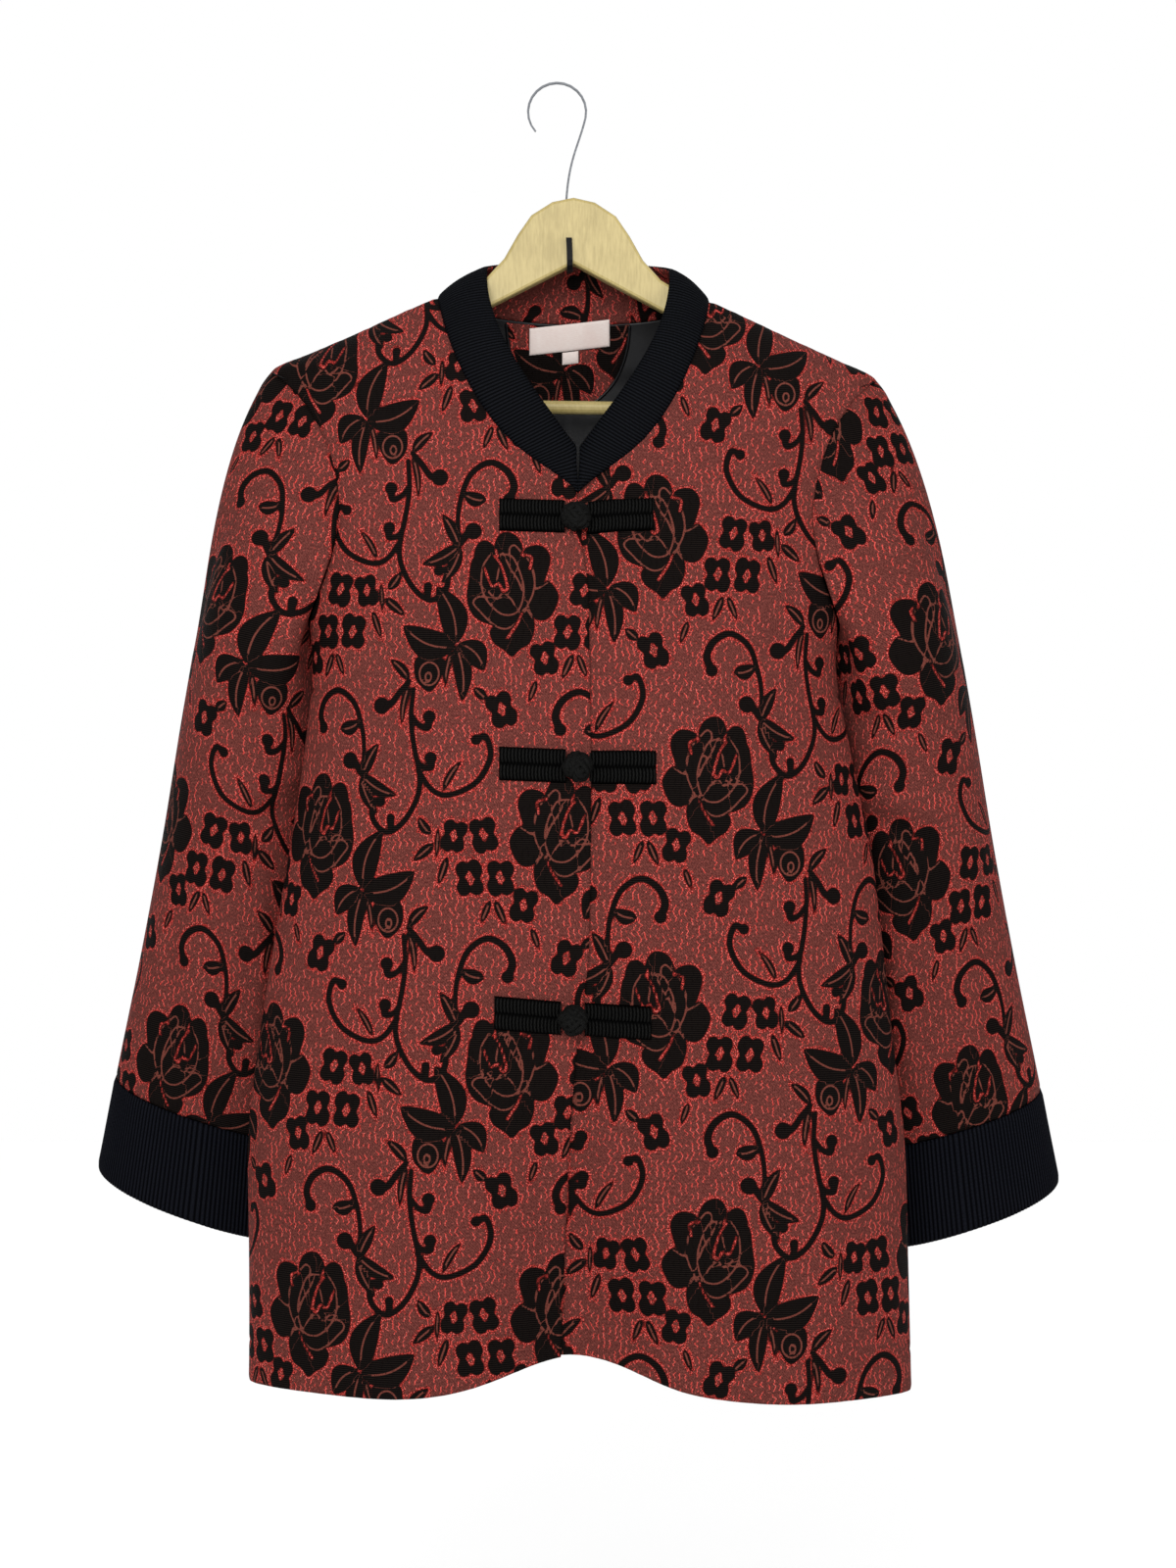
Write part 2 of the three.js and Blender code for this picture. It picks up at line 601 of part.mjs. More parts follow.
/** Part of a grid, by rows and columns. */
const partOf = (grid, row0, row1, col0, col1) => (
  grid.slice(row0, row1 + 1).map((row) => row.slice(col0, col1 + 1)));

// ---- what lies on the fronts ----

/** A point at (x, z) on the fronts, raised by height; panel says which front it lies on. */
function onFront(x, z, height, panel = RIGHT) {
  const side = x < 0 ? RIGHT : LEFT;
  const { point, out } = clothNode(side, shareAt(side, Math.abs(x), z), z);
  const sunk = panel === LEFT ? underlap(point) : 0;
  return point.addScaledVector(out, height + sunk);
}

/** A point at (x, z) on the back, moved in from the outer side by depth. */
function insideBack(x, z, depth) {
  const side = x < 0 ? RIGHT : LEFT;
  const s = 2 - shareAt(side, Math.abs(x), z, true);
  return bodyPoint(side, s, z).addScaledVector(bodyNormal(side, s, z), -depth);
}

/** The half-oval facing under the back of the neck. */
function neckFacing(depth) {
  const rows = (inset) => Array.from({ length: 7 }, (_, i) => Array.from({ length: 9 }, (__, k) => {
    const x = FACING_HALF * (k / 4 - 1) * Math.sqrt(1 - (0.97 * i / 6) ** 2);
    const top = neckline(LEFT, Math.asin(Math.abs(x) / NECK_HALF.left) * 2 / Math.PI, true).z - 2;
    return insideBack(x + FACING_X, mix(top, BACK_NECK - FACING_DROP, i / 6), depth + inset);
  }));
  return wall(placedGrid(rows(0)), placedGrid(rows(THIN)));
}

/** A flat sewn-in patch on the inside of the back, leaning by so many degrees. */
function patch({ x, z, width, height, lean, thick }, depth) {
  const drop = Math.tan(THREE.MathUtils.degToRad(lean));
  const rows = (inset) => [0.5, 0, -0.5].map((v) => [-0.5, -0.25, 0, 0.25, 0.5].map((u) => (
    insideBack(x + u * width, z + v * height + u * width * drop, depth + inset))));
  return wall(placedGrid(rows(0)), placedGrid(rows(thick)));
}

/** A frog's bar: two rolls side by side, on the panel under it. */
function frogBar(x, z, side, lean) {
  const profile = [
    { across: -0.5, rise: 0.1 }, { across: -0.42, rise: 0.75 }, { across: -0.25, rise: 1 },
    { across: -0.08, rise: 0.8 }, { across: 0, rise: 0.45 }, { across: 0.08, rise: 0.8 },
    { across: 0.25, rise: 1 }, { across: 0.42, rise: 0.75 }, { across: 0.5, rise: 0.1 },
  ];
  const steps = 4;
  const drop = Math.tan(THREE.MathUtils.degToRad(lean));
  const rows = (height) => Array.from({ length: steps + 1 }, (_, i) => {
    const reach = BAR_START + BAR_LENGTH * i / steps;
    const barX = x + side * reach;
    const barZ = z + side * reach * drop;
    return profile.map(({ across, rise }) => (
      onFront(barX, barZ + across * BAR_HEIGHT, BAR_SEAT + height(rise), side)));
  });
  return wall(placedGrid(rows((rise) => BAR_EDGE + rise * BAR_THICK)), placedGrid(rows(() => 0)));
}

/** A frog's ball knot, flattened against the fronts. */
function frogKnot(x, z) {
  const ball = new THREE.SphereGeometry(KNOT_RADIUS, 14, 9);
  ball.deleteAttribute('normal');
  ball.deleteAttribute('uv');
  const knot = mergeVertices(ball, 1e-3);
  const seat = onFront(x, z, 0);
  const position = knot.getAttribute('position');
  for (let i = 0; i < position.count; i += 1) {
    const lump = 1 + 0.05 * Math.sin(3 * position.getX(i) / KNOT_RADIUS + 2 * position.getZ(i) / KNOT_RADIUS);
    const p = new Vector3(position.getX(i) * lump, position.getY(i) * KNOT_FLAT, position.getZ(i) * lump);
    p.add(new Vector3(seat.x, seat.y - KNOT_RADIUS * KNOT_FLAT - KNOT_SEAT, seat.z));
    const { x: px, y: py, z: pz } = placed(p);
    position.setXYZ(i, px, py, pz);
  }
  return knot;
}

// ---- the hanger ----

const wasm = await Module();
wasm.setup();

/** A closed geometry as a manifold solid, and back. */
function toManifold(geometry) {
  const bare = geometry.clone();
  bare.deleteAttribute('normal');
  bare.deleteAttribute('uv');
  const joined = mergeVertices(bare, 1e-3);
  return new wasm.Manifold(new wasm.Mesh({
    numProp: 3,
    vertProperties: new Float32Array(joined.getAttribute('position').array),
    triVerts: new Uint32Array(joined.getIndex().array),
  }));
}

function toGeometry(manifold) {
  const mesh = manifold.getMesh();
  const geometry = new THREE.BufferGeometry();
  const points = new Float32Array(mesh.numVert * 3);
  for (let i = 0; i < mesh.numVert; i += 1) {
    for (let k = 0; k < 3; k += 1) points[3 * i + k] = mesh.vertProperties[mesh.numProp * i + k];
  }
  geometry.setAttribute('position', new THREE.BufferAttribute(points, 3));
  geometry.setIndex(new THREE.BufferAttribute(new Uint32Array(mesh.triVerts), 1));
  return geometry;
}

/** Slopes a hanger geometry as the garment slopes. */
function sloped(geometry) {
  const position = geometry.getAttribute('position');
  for (let i = 0; i < position.count; i += 1) {
    position.setZ(i, position.getZ(i) - SLOPE * position.getX(i));
  }
  return geometry;
}

function boardGeometry() {
  const mirrored = BOARD_EDGE.slice(1, -1).reverse().map(({ x, z }) => ({ x: -x, z }));
  const lowered = BOARD_EDGE.map(({ x, z }) => (
    { x, z: z - LEFT_ARM.drop * clamp01((x - LEFT_ARM.from) / (LEFT_ARM.to - LEFT_ARM.from)) }));
  const outline = [...lowered, ...mirrored];
  const shape = new THREE.Shape(outline.map(({ x, z }) => (
    new THREE.Vector2(x + (z > HUMP_BOTTOM ? HUMP_SHIFT : 0), z))));
  const bevel = 2;
  const board = new THREE.ExtrudeGeometry(shape, {
    depth: BOARD - 2 * bevel,
    bevelEnabled: true,
    bevelThickness: bevel,
    bevelSize: bevel,
    bevelOffset: -bevel,
    bevelSegments: 2,
  });
  board.translate(0, 0, -(BOARD - 2 * bevel) / 2);
  board.rotateX(Math.PI / 2);
  const stem = new THREE.CylinderGeometry(WIRE_RADIUS + SEAM, WIRE_RADIUS + SEAM, 26, 12);
  stem.rotateX(Math.PI / 2);
  stem.translate(STEM_X - GARMENT_X, 0, -83);
  let solidBoard = toManifold(board).subtract(toManifold(stem));
  for (const side of [-1, 1]) {
    const socket = new THREE.CylinderGeometry(DOWEL_RADIUS + SEAM, DOWEL_RADIUS + SEAM, 20, 16);
    socket.rotateZ(Math.PI / 2);
    socket.translate(side * (DOWEL_HALF - 6), 0, DOWEL_Z);
    solidBoard = solidBoard.subtract(toManifold(socket));
  }
  return sloped(toGeometry(solidBoard));
}

/** The hook's wire: round over the rail, then in to the stem. */
class HookPath extends THREE.Curve {
  getPoint(t, target = new Vector3()) {
    const round = 0.66;
    const centre = { x: HOOK_MIDDLE, z: WIRE_RADIUS - HOOK_RADIUS };
    const onRound = (angle) => ({
      x: centre.x + HOOK_RADIUS * Math.cos(angle),
      z: centre.z + HOOK_RADIUS * Math.sin(angle),
    });
    const open = THREE.MathUtils.degToRad(222);
    const close = THREE.MathUtils.degToRad(-14);
    if (t <= round) {
      const angle = mix(open, close, t / round);
      return target.set(onRound(angle).x, 0, onRound(angle).z);
    }
    const u = (t - round) / (1 - round);
    const from = onRound(close);
    const bend = { x: from.x + 22 * Math.sin(close), z: from.z - 22 * Math.cos(close) };
    const curve = (a, b, c, d) => (
      (1 - u) ** 3 * a + 3 * (1 - u) ** 2 * u * b + 3 * (1 - u) * u ** 2 * c + u ** 3 * d);
    return target.set(curve(from.x, bend.x, STEM_X, STEM_X), 0, curve(from.z, bend.z, STEM_BEND, STEM_FOOT));
  }
}

/** A wire of round section along a curve. */
function wire(path, radius, sides, steps) {
  const section = new THREE.Shape();
  section.absarc(0, 0, radius, 0, Math.PI * 2);
  const shape = new THREE.Shape(section.getPoints(sides).slice(0, sides));
  return new THREE.ExtrudeGeometry(shape, { steps, extrudePath: path, curveSegments: sides });
}

/** The small clip in the notch under the board: up the front, under the board and up behind. */
function notchClip() {
  const route = [
    new Vector3(0, -8.4, -103), new Vector3(0.4, -9, -112), new Vector3(0.6, -8.2, -121),
    new Vector3(0.6, -3.6, -125), new Vector3(0.6, 3.6, -125), new Vector3(0.6, 8.2, -121),
    new Vector3(0.6, 8.6, -114),
  ];
  const clip = wire(new THREE.CatmullRomCurve3(route), 2, 8, 12);
  return clip.translate(GARMENT_X + 2 * HUMP_SHIFT, 0, 0);
}

// ---- the object ----

const jacket = new THREE.Group();

function addPiece(name, geometry, material) {
  const mesh = new THREE.Mesh(geometry, material);
  mesh.name = name;
  jacket.add(mesh);
}

const finish = (color, roughness, metalness = 0) => (
  new THREE.MeshStandardMaterial({ color, roughness, metalness }));
const BROCADE = () => finish(0x7a2a26, 0.6);
const RIB = () => finish(0x0b0b0d, 0.85);
const SATIN = () => finish(0x17161a, 0.35);

addPiece('right_front', wallOf(panels.rightFront, 0, CLOTH), BROCADE());
addPiece('left_front', wallOf(panels.leftFront, underlap, CLOTH), BROCADE());
addPiece('back', wallOf(panels.back, 0, CLOTH), BROCADE());

for (const [name, side] of [['right', RIGHT], ['left', LEFT]]) {
  const sleeve = sleeveGrid(side);
  const cuff = cuffGrid(side);
  const tube = (grid, proud, thickness) => (
    wall(placedGrid(moved(grid, proud)), placedGrid(moved(grid, proud - thickness)), true));
  addPiece(`${name}_sleeve`, tube(sleeve, 0, CLOTH), BROCADE());
  addPiece(`${name}_cuff`, tube(cuff, CUFF_PROUD, RIBBED), RIB());
}

addPiece('neck_band', wallOf(band, 0, RIBBED), RIB());

const bandBackFrom = FRONT_COLS + 2;
const bandBackTo = FRONT_COLS + 2 * BACK_COLS - 2;
const bandBack = partOf(band, bandBackFrom, bandBackTo, 0, BAND_ACROSS);
addPiece('collar_facing', wallOf(bandBack, -RIBBED - SEAM, THIN), BROCADE());

const liningRows = 13;
const liningInset = 5;
const liningPart = partOf(panels.back, ROWS - liningRows, ROWS - 1, liningInset, 2 * BACK_COLS - liningInset);
addPiece('back_lining', wallOf(liningPart, -CLOTH - SEAM, THIN), SATIN());

const facingDepth = CLOTH + SEAM + THIN + 0.8;
const labelDepth = facingDepth + THIN + 0.6;
addPiece('neck_facing', neckFacing(facingDepth), BROCADE());
for (const [name, tag] of [['neck_label', LABEL], ['size_tab', SIZE_TAB]]) {
  addPiece(name, patch(tag, labelDepth), finish(0xe6cfd0, 0.6));
}

for (const frog of FROGS) {
  addPiece(`${frog.name}_right_bar`, frogBar(frog.x, frog.z, RIGHT, frog.rightLean), RIB());
  addPiece(`${frog.name}_left_bar`, frogBar(frog.x, frog.z, LEFT, frog.leftLean), RIB());
  addPiece(`${frog.name}_knot`, frogKnot(frog.x, frog.z), RIB());
}

const board = new THREE.Mesh(boardGeometry(), finish(0xcdb67c, 0.5));
board.name = 'hanger_board';
board.position.x = GARMENT_X;
jacket.add(board);

const dowel = new THREE.CylinderGeometry(DOWEL_RADIUS, DOWEL_RADIUS, 2 * DOWEL_HALF, 16);
dowel.rotateZ(Math.PI / 2).translate(0, 0, DOWEL_Z);
const bar = new THREE.Mesh(sloped(dowel), finish(0xcdb67c, 0.5));
bar.name = 'trouser_bar';
bar.position.x = GARMENT_X;
jacket.add(bar);

addPiece('hook', wire(new HookPath(), WIRE_RADIUS, 8, 30), finish(0xb8bcc0, 0.2, 1));
addPiece('notch_clip', notchClip(), finish(0x0c0c0e, 0.4));

export default jacket;
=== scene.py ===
# The looks of a patterned jacket on a hanger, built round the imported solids.
# Shapes are worked out in millimetres in the garment's own frame and turned to metres at the end:
# x is 0 at the garment's middle and grows towards the wearer's left, y grows backward and z upward.

import math

import bpy
import mathutils
import numpy as np
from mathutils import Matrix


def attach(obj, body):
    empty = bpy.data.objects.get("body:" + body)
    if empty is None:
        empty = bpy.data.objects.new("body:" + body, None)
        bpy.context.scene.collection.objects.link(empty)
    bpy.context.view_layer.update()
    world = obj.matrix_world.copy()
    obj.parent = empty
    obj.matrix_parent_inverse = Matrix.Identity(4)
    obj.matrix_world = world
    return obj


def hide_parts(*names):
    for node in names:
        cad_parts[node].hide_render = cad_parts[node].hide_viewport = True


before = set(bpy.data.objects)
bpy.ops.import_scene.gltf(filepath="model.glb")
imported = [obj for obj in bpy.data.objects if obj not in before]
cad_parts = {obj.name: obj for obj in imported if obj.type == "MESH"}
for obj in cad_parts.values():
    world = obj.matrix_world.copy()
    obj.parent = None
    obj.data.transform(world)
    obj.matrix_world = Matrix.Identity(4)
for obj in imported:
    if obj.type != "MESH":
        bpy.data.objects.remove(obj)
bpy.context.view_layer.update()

# ---- driving dimensions, as in the solids ----

MM = 0.001
RIGHT = -1
LEFT = 1
SIDE_WORD = {RIGHT: "right", LEFT: "left"}
GARMENT_X = 11
SLOPE = 0.014
SEAM = 0.3
TUCK = 0.5                         # neighbouring pieces run into each other so far, so that no light shows
CLOTH = 2
RIBBED = 2.4
THIN = 1

NECK_TOP = -142
NECK_HALF = {RIGHT: 93, LEFT: 87}
NECK_POINT = 0.69
NECK_POINT_FADE = math.radians(20)
TIP = -193
ARMPIT = -385
SIDE_HEM = -854
CENTRE_HEM = -831
HEM_PEAK_WIDTH = 60
BACK_HEM = -847
FRONT_NECK = -276
BACK_NECK = -153
ARMHOLE_FRONT = 0.29
ARMHOLE_BACK = 0.3
ARMPIT_LEVEL = -400
TIP_LEVEL_FRONT = -302
TIP_LEVEL_BACK = -195
LAP = 26
LAP_BLEND = 22
LAP_GAP = 1.4

BAND_HALF = 61
BAND_FRONT = -246
BAND_SIDE = -121.5
BAND_BACK = -112.5
BAND_FRONT_Y = -52
BAND_BACK_Y = 31
BAND_LAG = math.radians(8)

BAR_LENGTH = 40
BAR_HEIGHT = 21
BAR_THICK = 3.2
BAR_START = 9.4
KNOT_RADIUS = 10
KNOT_FLAT = 0.72
BAR_EDGE = 0.7

FACING_HALF = 42
FACING_DROP = 54
FACING_X = -7
LABEL = {"x": -6, "z": -161, "width": 55, "height": 18, "lean": 7, "thick": 0.8}
SIZE_TAB = {"x": -5.5, "z": -174.5, "width": 11, "height": 8, "lean": 7, "thick": 0.6}


def rows_of(names, *rows):
    """A table of rows with named columns, as one array a column."""
    return {name: np.array([row[i] for row in rows], float) for i, name in enumerate(names.split())}


BODY = rows_of(
    "z right left front back squareF squareB taper",
    (-142, 93, 87, 14, 36, 2.0, 2.0, 0),
    (-155, 121, 115, 23, 40, 2.0, 2.0, 0),
    (-168, 148, 143, 31, 43, 2.0, 2.0, 0),
    (-181, 177, 172, 38, 46, 2.0, 2.0, 0),
    (-193, 203, 197, 43, 49, 2.05, 2.05, 0),
    (-215, 205, 200, 49, 53, 2.1, 2.1, 0.01),
    (-250, 199, 196, 57, 58, 2.2, 2.2, 0.04),
    (-300, 188, 184, 67, 65, 2.35, 2.3, 0.1),
    (-345, 179, 174, 78, 72, 2.5, 2.4, 0.17),
    (-385, 173, 168, 88, 78, 2.6, 2.5, 0.23),
    (-440, 177, 177, 98, 84, 2.7, 2.5, 0.27),
    (-503, 186, 190, 101, 86, 2.8, 2.5, 0.28),
    (-568, 197, 198, 100, 86, 2.8, 2.5, 0.27),
    (-633, 207, 205, 98, 85, 2.8, 2.5, 0.25),
    (-690, 214, 212, 96, 84, 2.8, 2.5, 0.23),
    (-760, 215, 215, 94, 83, 2.8, 2.5, 0.21),
    (-860, 214, 217, 92, 82, 2.8, 2.5, 0.19),
)
TAPER_FROM = -50
TAPER_TO = 30

OPENING = rows_of(
    "z x", (-276, -0.6), (-300, 1), (-345, 7), (-568, 7), (-625, 0), (-690, -5), (-760, -8), (-840, -11),
)

FOLDS = [
    {"panel": "front", "x": 0, "spread": 48, "out": -30, "from": -600},
    {"panel": "front", "x": -118, "spread": 46, "out": 10, "from": -480},
    {"panel": "front", "x": 140, "spread": 44, "out": 10, "from": -480},
    {"panel": "front", "x": 62, "spread": 24, "out": 5, "from": -640},
    {"panel": "back", "x": -96, "spread": 34, "out": 13, "from": -420},
    {"panel": "back", "x": -22, "spread": 36, "out": -12, "from": -380},
    {"panel": "back", "x": 58, "spread": 32, "out": 12, "from": -420},
    {"panel": "back", "x": 120, "spread": 24, "out": -8, "from": -520},
]

SLEEVE = rows_of(
    "z out width depth y tilt drop",
    (-402, 256, 98, 132, 15, 28, 0),
    (-450, 266, 103, 120, 22, 23, 0),
    (-520, 279, 108, 106, 30, 20, 1),
    (-600, 295, 116, 92, 36, 18, 4),
    (-680, 312, 130, 80, 41, 17, 8),
    (-748, 325, 141, 74, 44, 18, 11),
)
CUFF_TOP = -684
CUFF_END = -748

FROGS = [
    {"name": "frog_1", "x": -1, "z": -293, "right": -1, "left": 3},
    {"name": "frog_2", "x": 0, "z": -453, "right": -1.5, "left": 0},
    {"name": "frog_3", "x": -3, "z": -612, "right": -4, "left": -2},
]

# ---- small helpers ----


def mix(a, b, t):
    return a + (b - a) * t


def clamp01(t):
    return np.clip(t, 0, 1)


def ease(t):
    t = clamp01(t)
    return t * t * (3 - 2 * t)


def power(value, exponent):
    return np.sign(value) * np.abs(value) ** exponent


def unit(v):
    return v / np.maximum(np.linalg.norm(v, axis=-1, keepdims=True), 1e-9)


def bell(distance, width):
    """1 at no distance, falling smoothly to nearly 0 at two widths."""
    return np.exp(-((distance / width) ** 2))


def running(steps, axis=0):
    """Running totals along an axis, from 0."""
    return np.concatenate([np.zeros_like(np.take(steps, [0], axis)), np.cumsum(steps, axis)], axis)


def lengths(points, axis=0):
    """How far along its line each point is."""
    return running(np.linalg.norm(np.diff(points, axis=axis), axis=-1), axis)


def carried_on(line):
    """The line with one more point at each end, carried straight on."""
    return np.concatenate([2 * line[:1] - line[1:2], line, 2 * line[-1:] - line[-2:-1]])


def column(table, key, z):
    """Reads one column of a table at heights z with a smooth curve through its rows."""
    z = np.asarray(z, float)
    zs = table["z"]
    v = table[key]
    last = len(zs) - 1
    index = np.arange(last + 1)
    lo = np.maximum(index - 1, 0)
    hi = np.minimum(index + 1, last)
    slope = (v[hi] - v[lo]) / (zs[hi] - zs[lo])
    row = np.clip(np.searchsorted(-zs, -z) - 1, 0, last - 1)
    h = zs[row + 1] - zs[row]
    t = clamp01((z - zs[row]) / h)
    return ((2 * t**3 - 3 * t**2 + 1) * v[row] + (t**3 - 2 * t**2 + t) * h * slope[row]
            + (3 * t**2 - 2 * t**3) * v[row + 1] + (t**3 - t**2) * h * slope[row + 1])


def ripple(x, seed, wave=40.0):
    """A smooth uneven line between about -1 and 1, the same on every run."""
    draw = np.random.default_rng(seed)
    total = np.zeros(np.shape(x))
    for stretch in (1.0, 0.61, 0.37, 0.23):
        start = draw.uniform(0, 2 * math.pi)
        total += np.sin(np.asarray(x) * 2 * math.pi / (wave * stretch) + start) * stretch**0.7
    return total / 2.2


# ---- the body's surface, tabled once and read smoothly ----

RING_STEPS = 96
SHARES = 129
HALVINGS = 22
TABLE_Z = np.arange(-866.0, -139.0, 2.0)


def ring_table(side):
    """x and y of the front and back quarter rings by height and by share of the quarter's length."""
    z = TABLE_Z[:, None]
    half = column(BODY, SIDE_WORD[side], z)
    taper = column(BODY, "taper", z)
    angle = np.linspace(0, math.pi / 2, RING_STEPS + 1)[None, :]
    runs = []
    for key, square, start in (("front", "squareF", 0), ("back", "squareB", math.pi / 2)):
        sharp = 2 / column(BODY, square, z)
        y = -column(BODY, key, z) * power(np.cos(angle + start), sharp)
        narrow = 1 - taper * ease((y - TAPER_FROM) / (TAPER_TO - TAPER_FROM))
        x = half * power(np.abs(np.sin(angle + start)), sharp) * narrow
        runs.append((x, y))
    widest = np.maximum(runs[0][0].max(axis=1), runs[1][0].max(axis=1))[:, None]
    tables = []
    for x, y in runs:
        x = x * half / widest
        step = np.hypot(np.diff(x, axis=1), np.diff(y, axis=1))
        reach = running(step, 1)
        share = np.linspace(0, 1, SHARES)
        found = {"length": reach[:, -1]}
        for key, values in (("x", x), ("y", y)):
            found[key] = padded(np.array([np.interp(share * r[-1], r, v) for r, v in zip(reach, values)]))
        tables.append(found)
    return tables


def padded(table):
    """The table with one more line all round, carried straight on."""
    return carried_on(carried_on(table.T).T)


def cubic_weights(t):
    return (0.5 * (-t + 2 * t**2 - t**3), 0.5 * (2 - 5 * t**2 + 3 * t**3),
            0.5 * (t + 4 * t**2 - 3 * t**3), 0.5 * (-(t**2) + t**3))


def read_table(table, share, z):
    """Reads a padded table smoothly at a share of the quarter and a height."""
    across = np.clip(share, 0, 1) * (SHARES - 1)
    down = np.clip((z - TABLE_Z[0]) / (TABLE_Z[1] - TABLE_Z[0]), 0, len(TABLE_Z) - 1)
    col = np.clip(across.astype(int), 0, SHARES - 2)
    row = np.clip(down.astype(int), 0, len(TABLE_Z) - 2)
    total = np.zeros(np.shape(across))
    for i, wr in enumerate(cubic_weights(down - row)):
        for k, wc in enumerate(cubic_weights(across - col)):
            total += wr * wc * table[row + i, col + k]
    return total


RINGS = {side: ring_table(side) for side in (RIGHT, LEFT)}


def quarter_length(side, z, back=False):
    return np.interp(z, TABLE_Z, RINGS[side][1 if back else 0]["length"])


def fold_depth(panel, x, z):
    total = np.zeros(np.shape(x))
    for fold in FOLDS:
        if fold["panel"] == panel:
            grow = ease((fold["from"] - z) / (fold["from"] - SIDE_HEM))
            total += fold["out"] * grow * bell(x - fold["x"], fold["spread"])
    return total


def body_point(side, s, z):
    """Points of the cloth: s is 0 at the centre front, 1 at the side or shoulder, 2 at the centre back."""
    s, z = np.broadcast_arrays(np.asarray(s, float), np.asarray(z, float))
    other = (s < 0) | (s > 2)
    s = np.where(s < 0, -s, np.where(s > 2, 4 - s, s))
    x = np.zeros(s.shape)
    y = np.zeros(s.shape)
    for flip in (False, True):
        on = side * (-1 if flip else 1)
        for back in (False, True):
            pick = (other == flip) & ((s >= 1) == back)
            if not pick.any():
                continue
            table = RINGS[on][1 if back else 0]
            share = s[pick] - (1 if back else 0)
            x[pick] = on * read_table(table["x"], share, z[pick])
            y[pick] = read_table(table["y"], share, z[pick])
    front = y < 0
    depth = np.where(front, column(BODY, "front", z), column(BODY, "back", z))
    shift = np.where(front, fold_depth("front", x, z), fold_depth("back", x, z))
    y = y + np.sign(y) * shift * ease(np.abs(y) / depth)
    return np.stack([x, y, z], axis=-1)


def body_normal(side, s, z):
    ds = 0.012
    dz = 1.5
    across = body_point(side, s + ds, z) - body_point(side, s - ds, z)
    up = body_point(side, s, np.minimum(z + dz, NECK_TOP)) - body_point(side, s, z - dz)
    return unit(np.cross(across, up) * side)


def share_at(side, x, z, back=False):
    """The share of the quarter ring at which it is x from the middle."""
    x, z = np.broadcast_arrays(np.asarray(x, float), np.asarray(z, float))
    lo = np.zeros(x.shape)
    hi = np.ones(x.shape)
    for _ in range(HALVINGS):
        mid = (lo + hi) / 2
        near = np.abs(body_point(side, 2 - mid if back else mid, z)[..., 0]) < x
        lo = np.where(near, mid, lo)
        hi = np.where(near, hi, mid)
    return lo


# ---- panels, in the solids' rows: hem to armpit, armhole, shoulder ----

SIDE_ROWS = 10
ARMHOLE_ROWS = 11
SHOULDER_ROWS = 5
ROWS = SIDE_ROWS + ARMHOLE_ROWS + SHOULDER_ROWS


def opening_x(z):
    return column(OPENING, "x", z)


def centre_x(z):
    return np.zeros(np.shape(z))


def armhole(t, share):
    """How far the armhole is cut in, as a share of the quarter, and its height; t runs from armpit to tip."""
    angle = math.pi * clamp01(t)
    return share * np.sin(angle) ** 1.25, mix(ARMPIT, TIP, (1 - np.cos(angle)) / 2)


def side_edge(row, share):
    """How far the panel's side is cut in at a row, and its height."""
    hole = (row > SIDE_ROWS) & (row <= SIDE_ROWS + ARMHOLE_ROWS)
    cut, height = armhole((row - SIDE_ROWS) / ARMHOLE_ROWS, share)
    low = mix(SIDE_HEM, ARMPIT, row / SIDE_ROWS)
    top = mix(TIP, NECK_TOP, (row - SIDE_ROWS - ARMHOLE_ROWS) / SHOULDER_ROWS)
    return np.where(hole, cut, 0), np.where(row <= SIDE_ROWS, low, np.where(hole, height, top))


def middle_height(row, back):
    """Height of a row at the panel's middle edge."""
    hem = BACK_HEM if back else CENTRE_HEM
    tip = TIP_LEVEL_BACK if back else TIP_LEVEL_FRONT
    neck = BACK_NECK if back else FRONT_NECK
    low = mix(hem, ARMPIT_LEVEL, row / SIDE_ROWS)
    hole = mix(ARMPIT_LEVEL, tip, (row - SIDE_ROWS) / ARMHOLE_ROWS)
    top = mix(tip, neck, (row - SIDE_ROWS - ARMHOLE_ROWS) / SHOULDER_ROWS)
    return np.where(row <= SIDE_ROWS, low, np.where(row <= SIDE_ROWS + ARMHOLE_ROWS, hole, top))


def neckline(side, turn, back):
    """The neckline from the middle (turn 0) to the shoulder (turn 1); the front one comes to a point."""
    angle = turn * math.pi / 2
    low = BACK_NECK if back else FRONT_NECK
    raised = 0 if back else NECK_POINT * np.sin(angle) * np.cos(angle) * np.exp(-angle / NECK_POINT_FADE)
    height = NECK_TOP + (low - NECK_TOP) * (np.abs(np.cos(angle)) ** 1.6 - raised)
    return NECK_HALF[side] * np.sin(angle), height


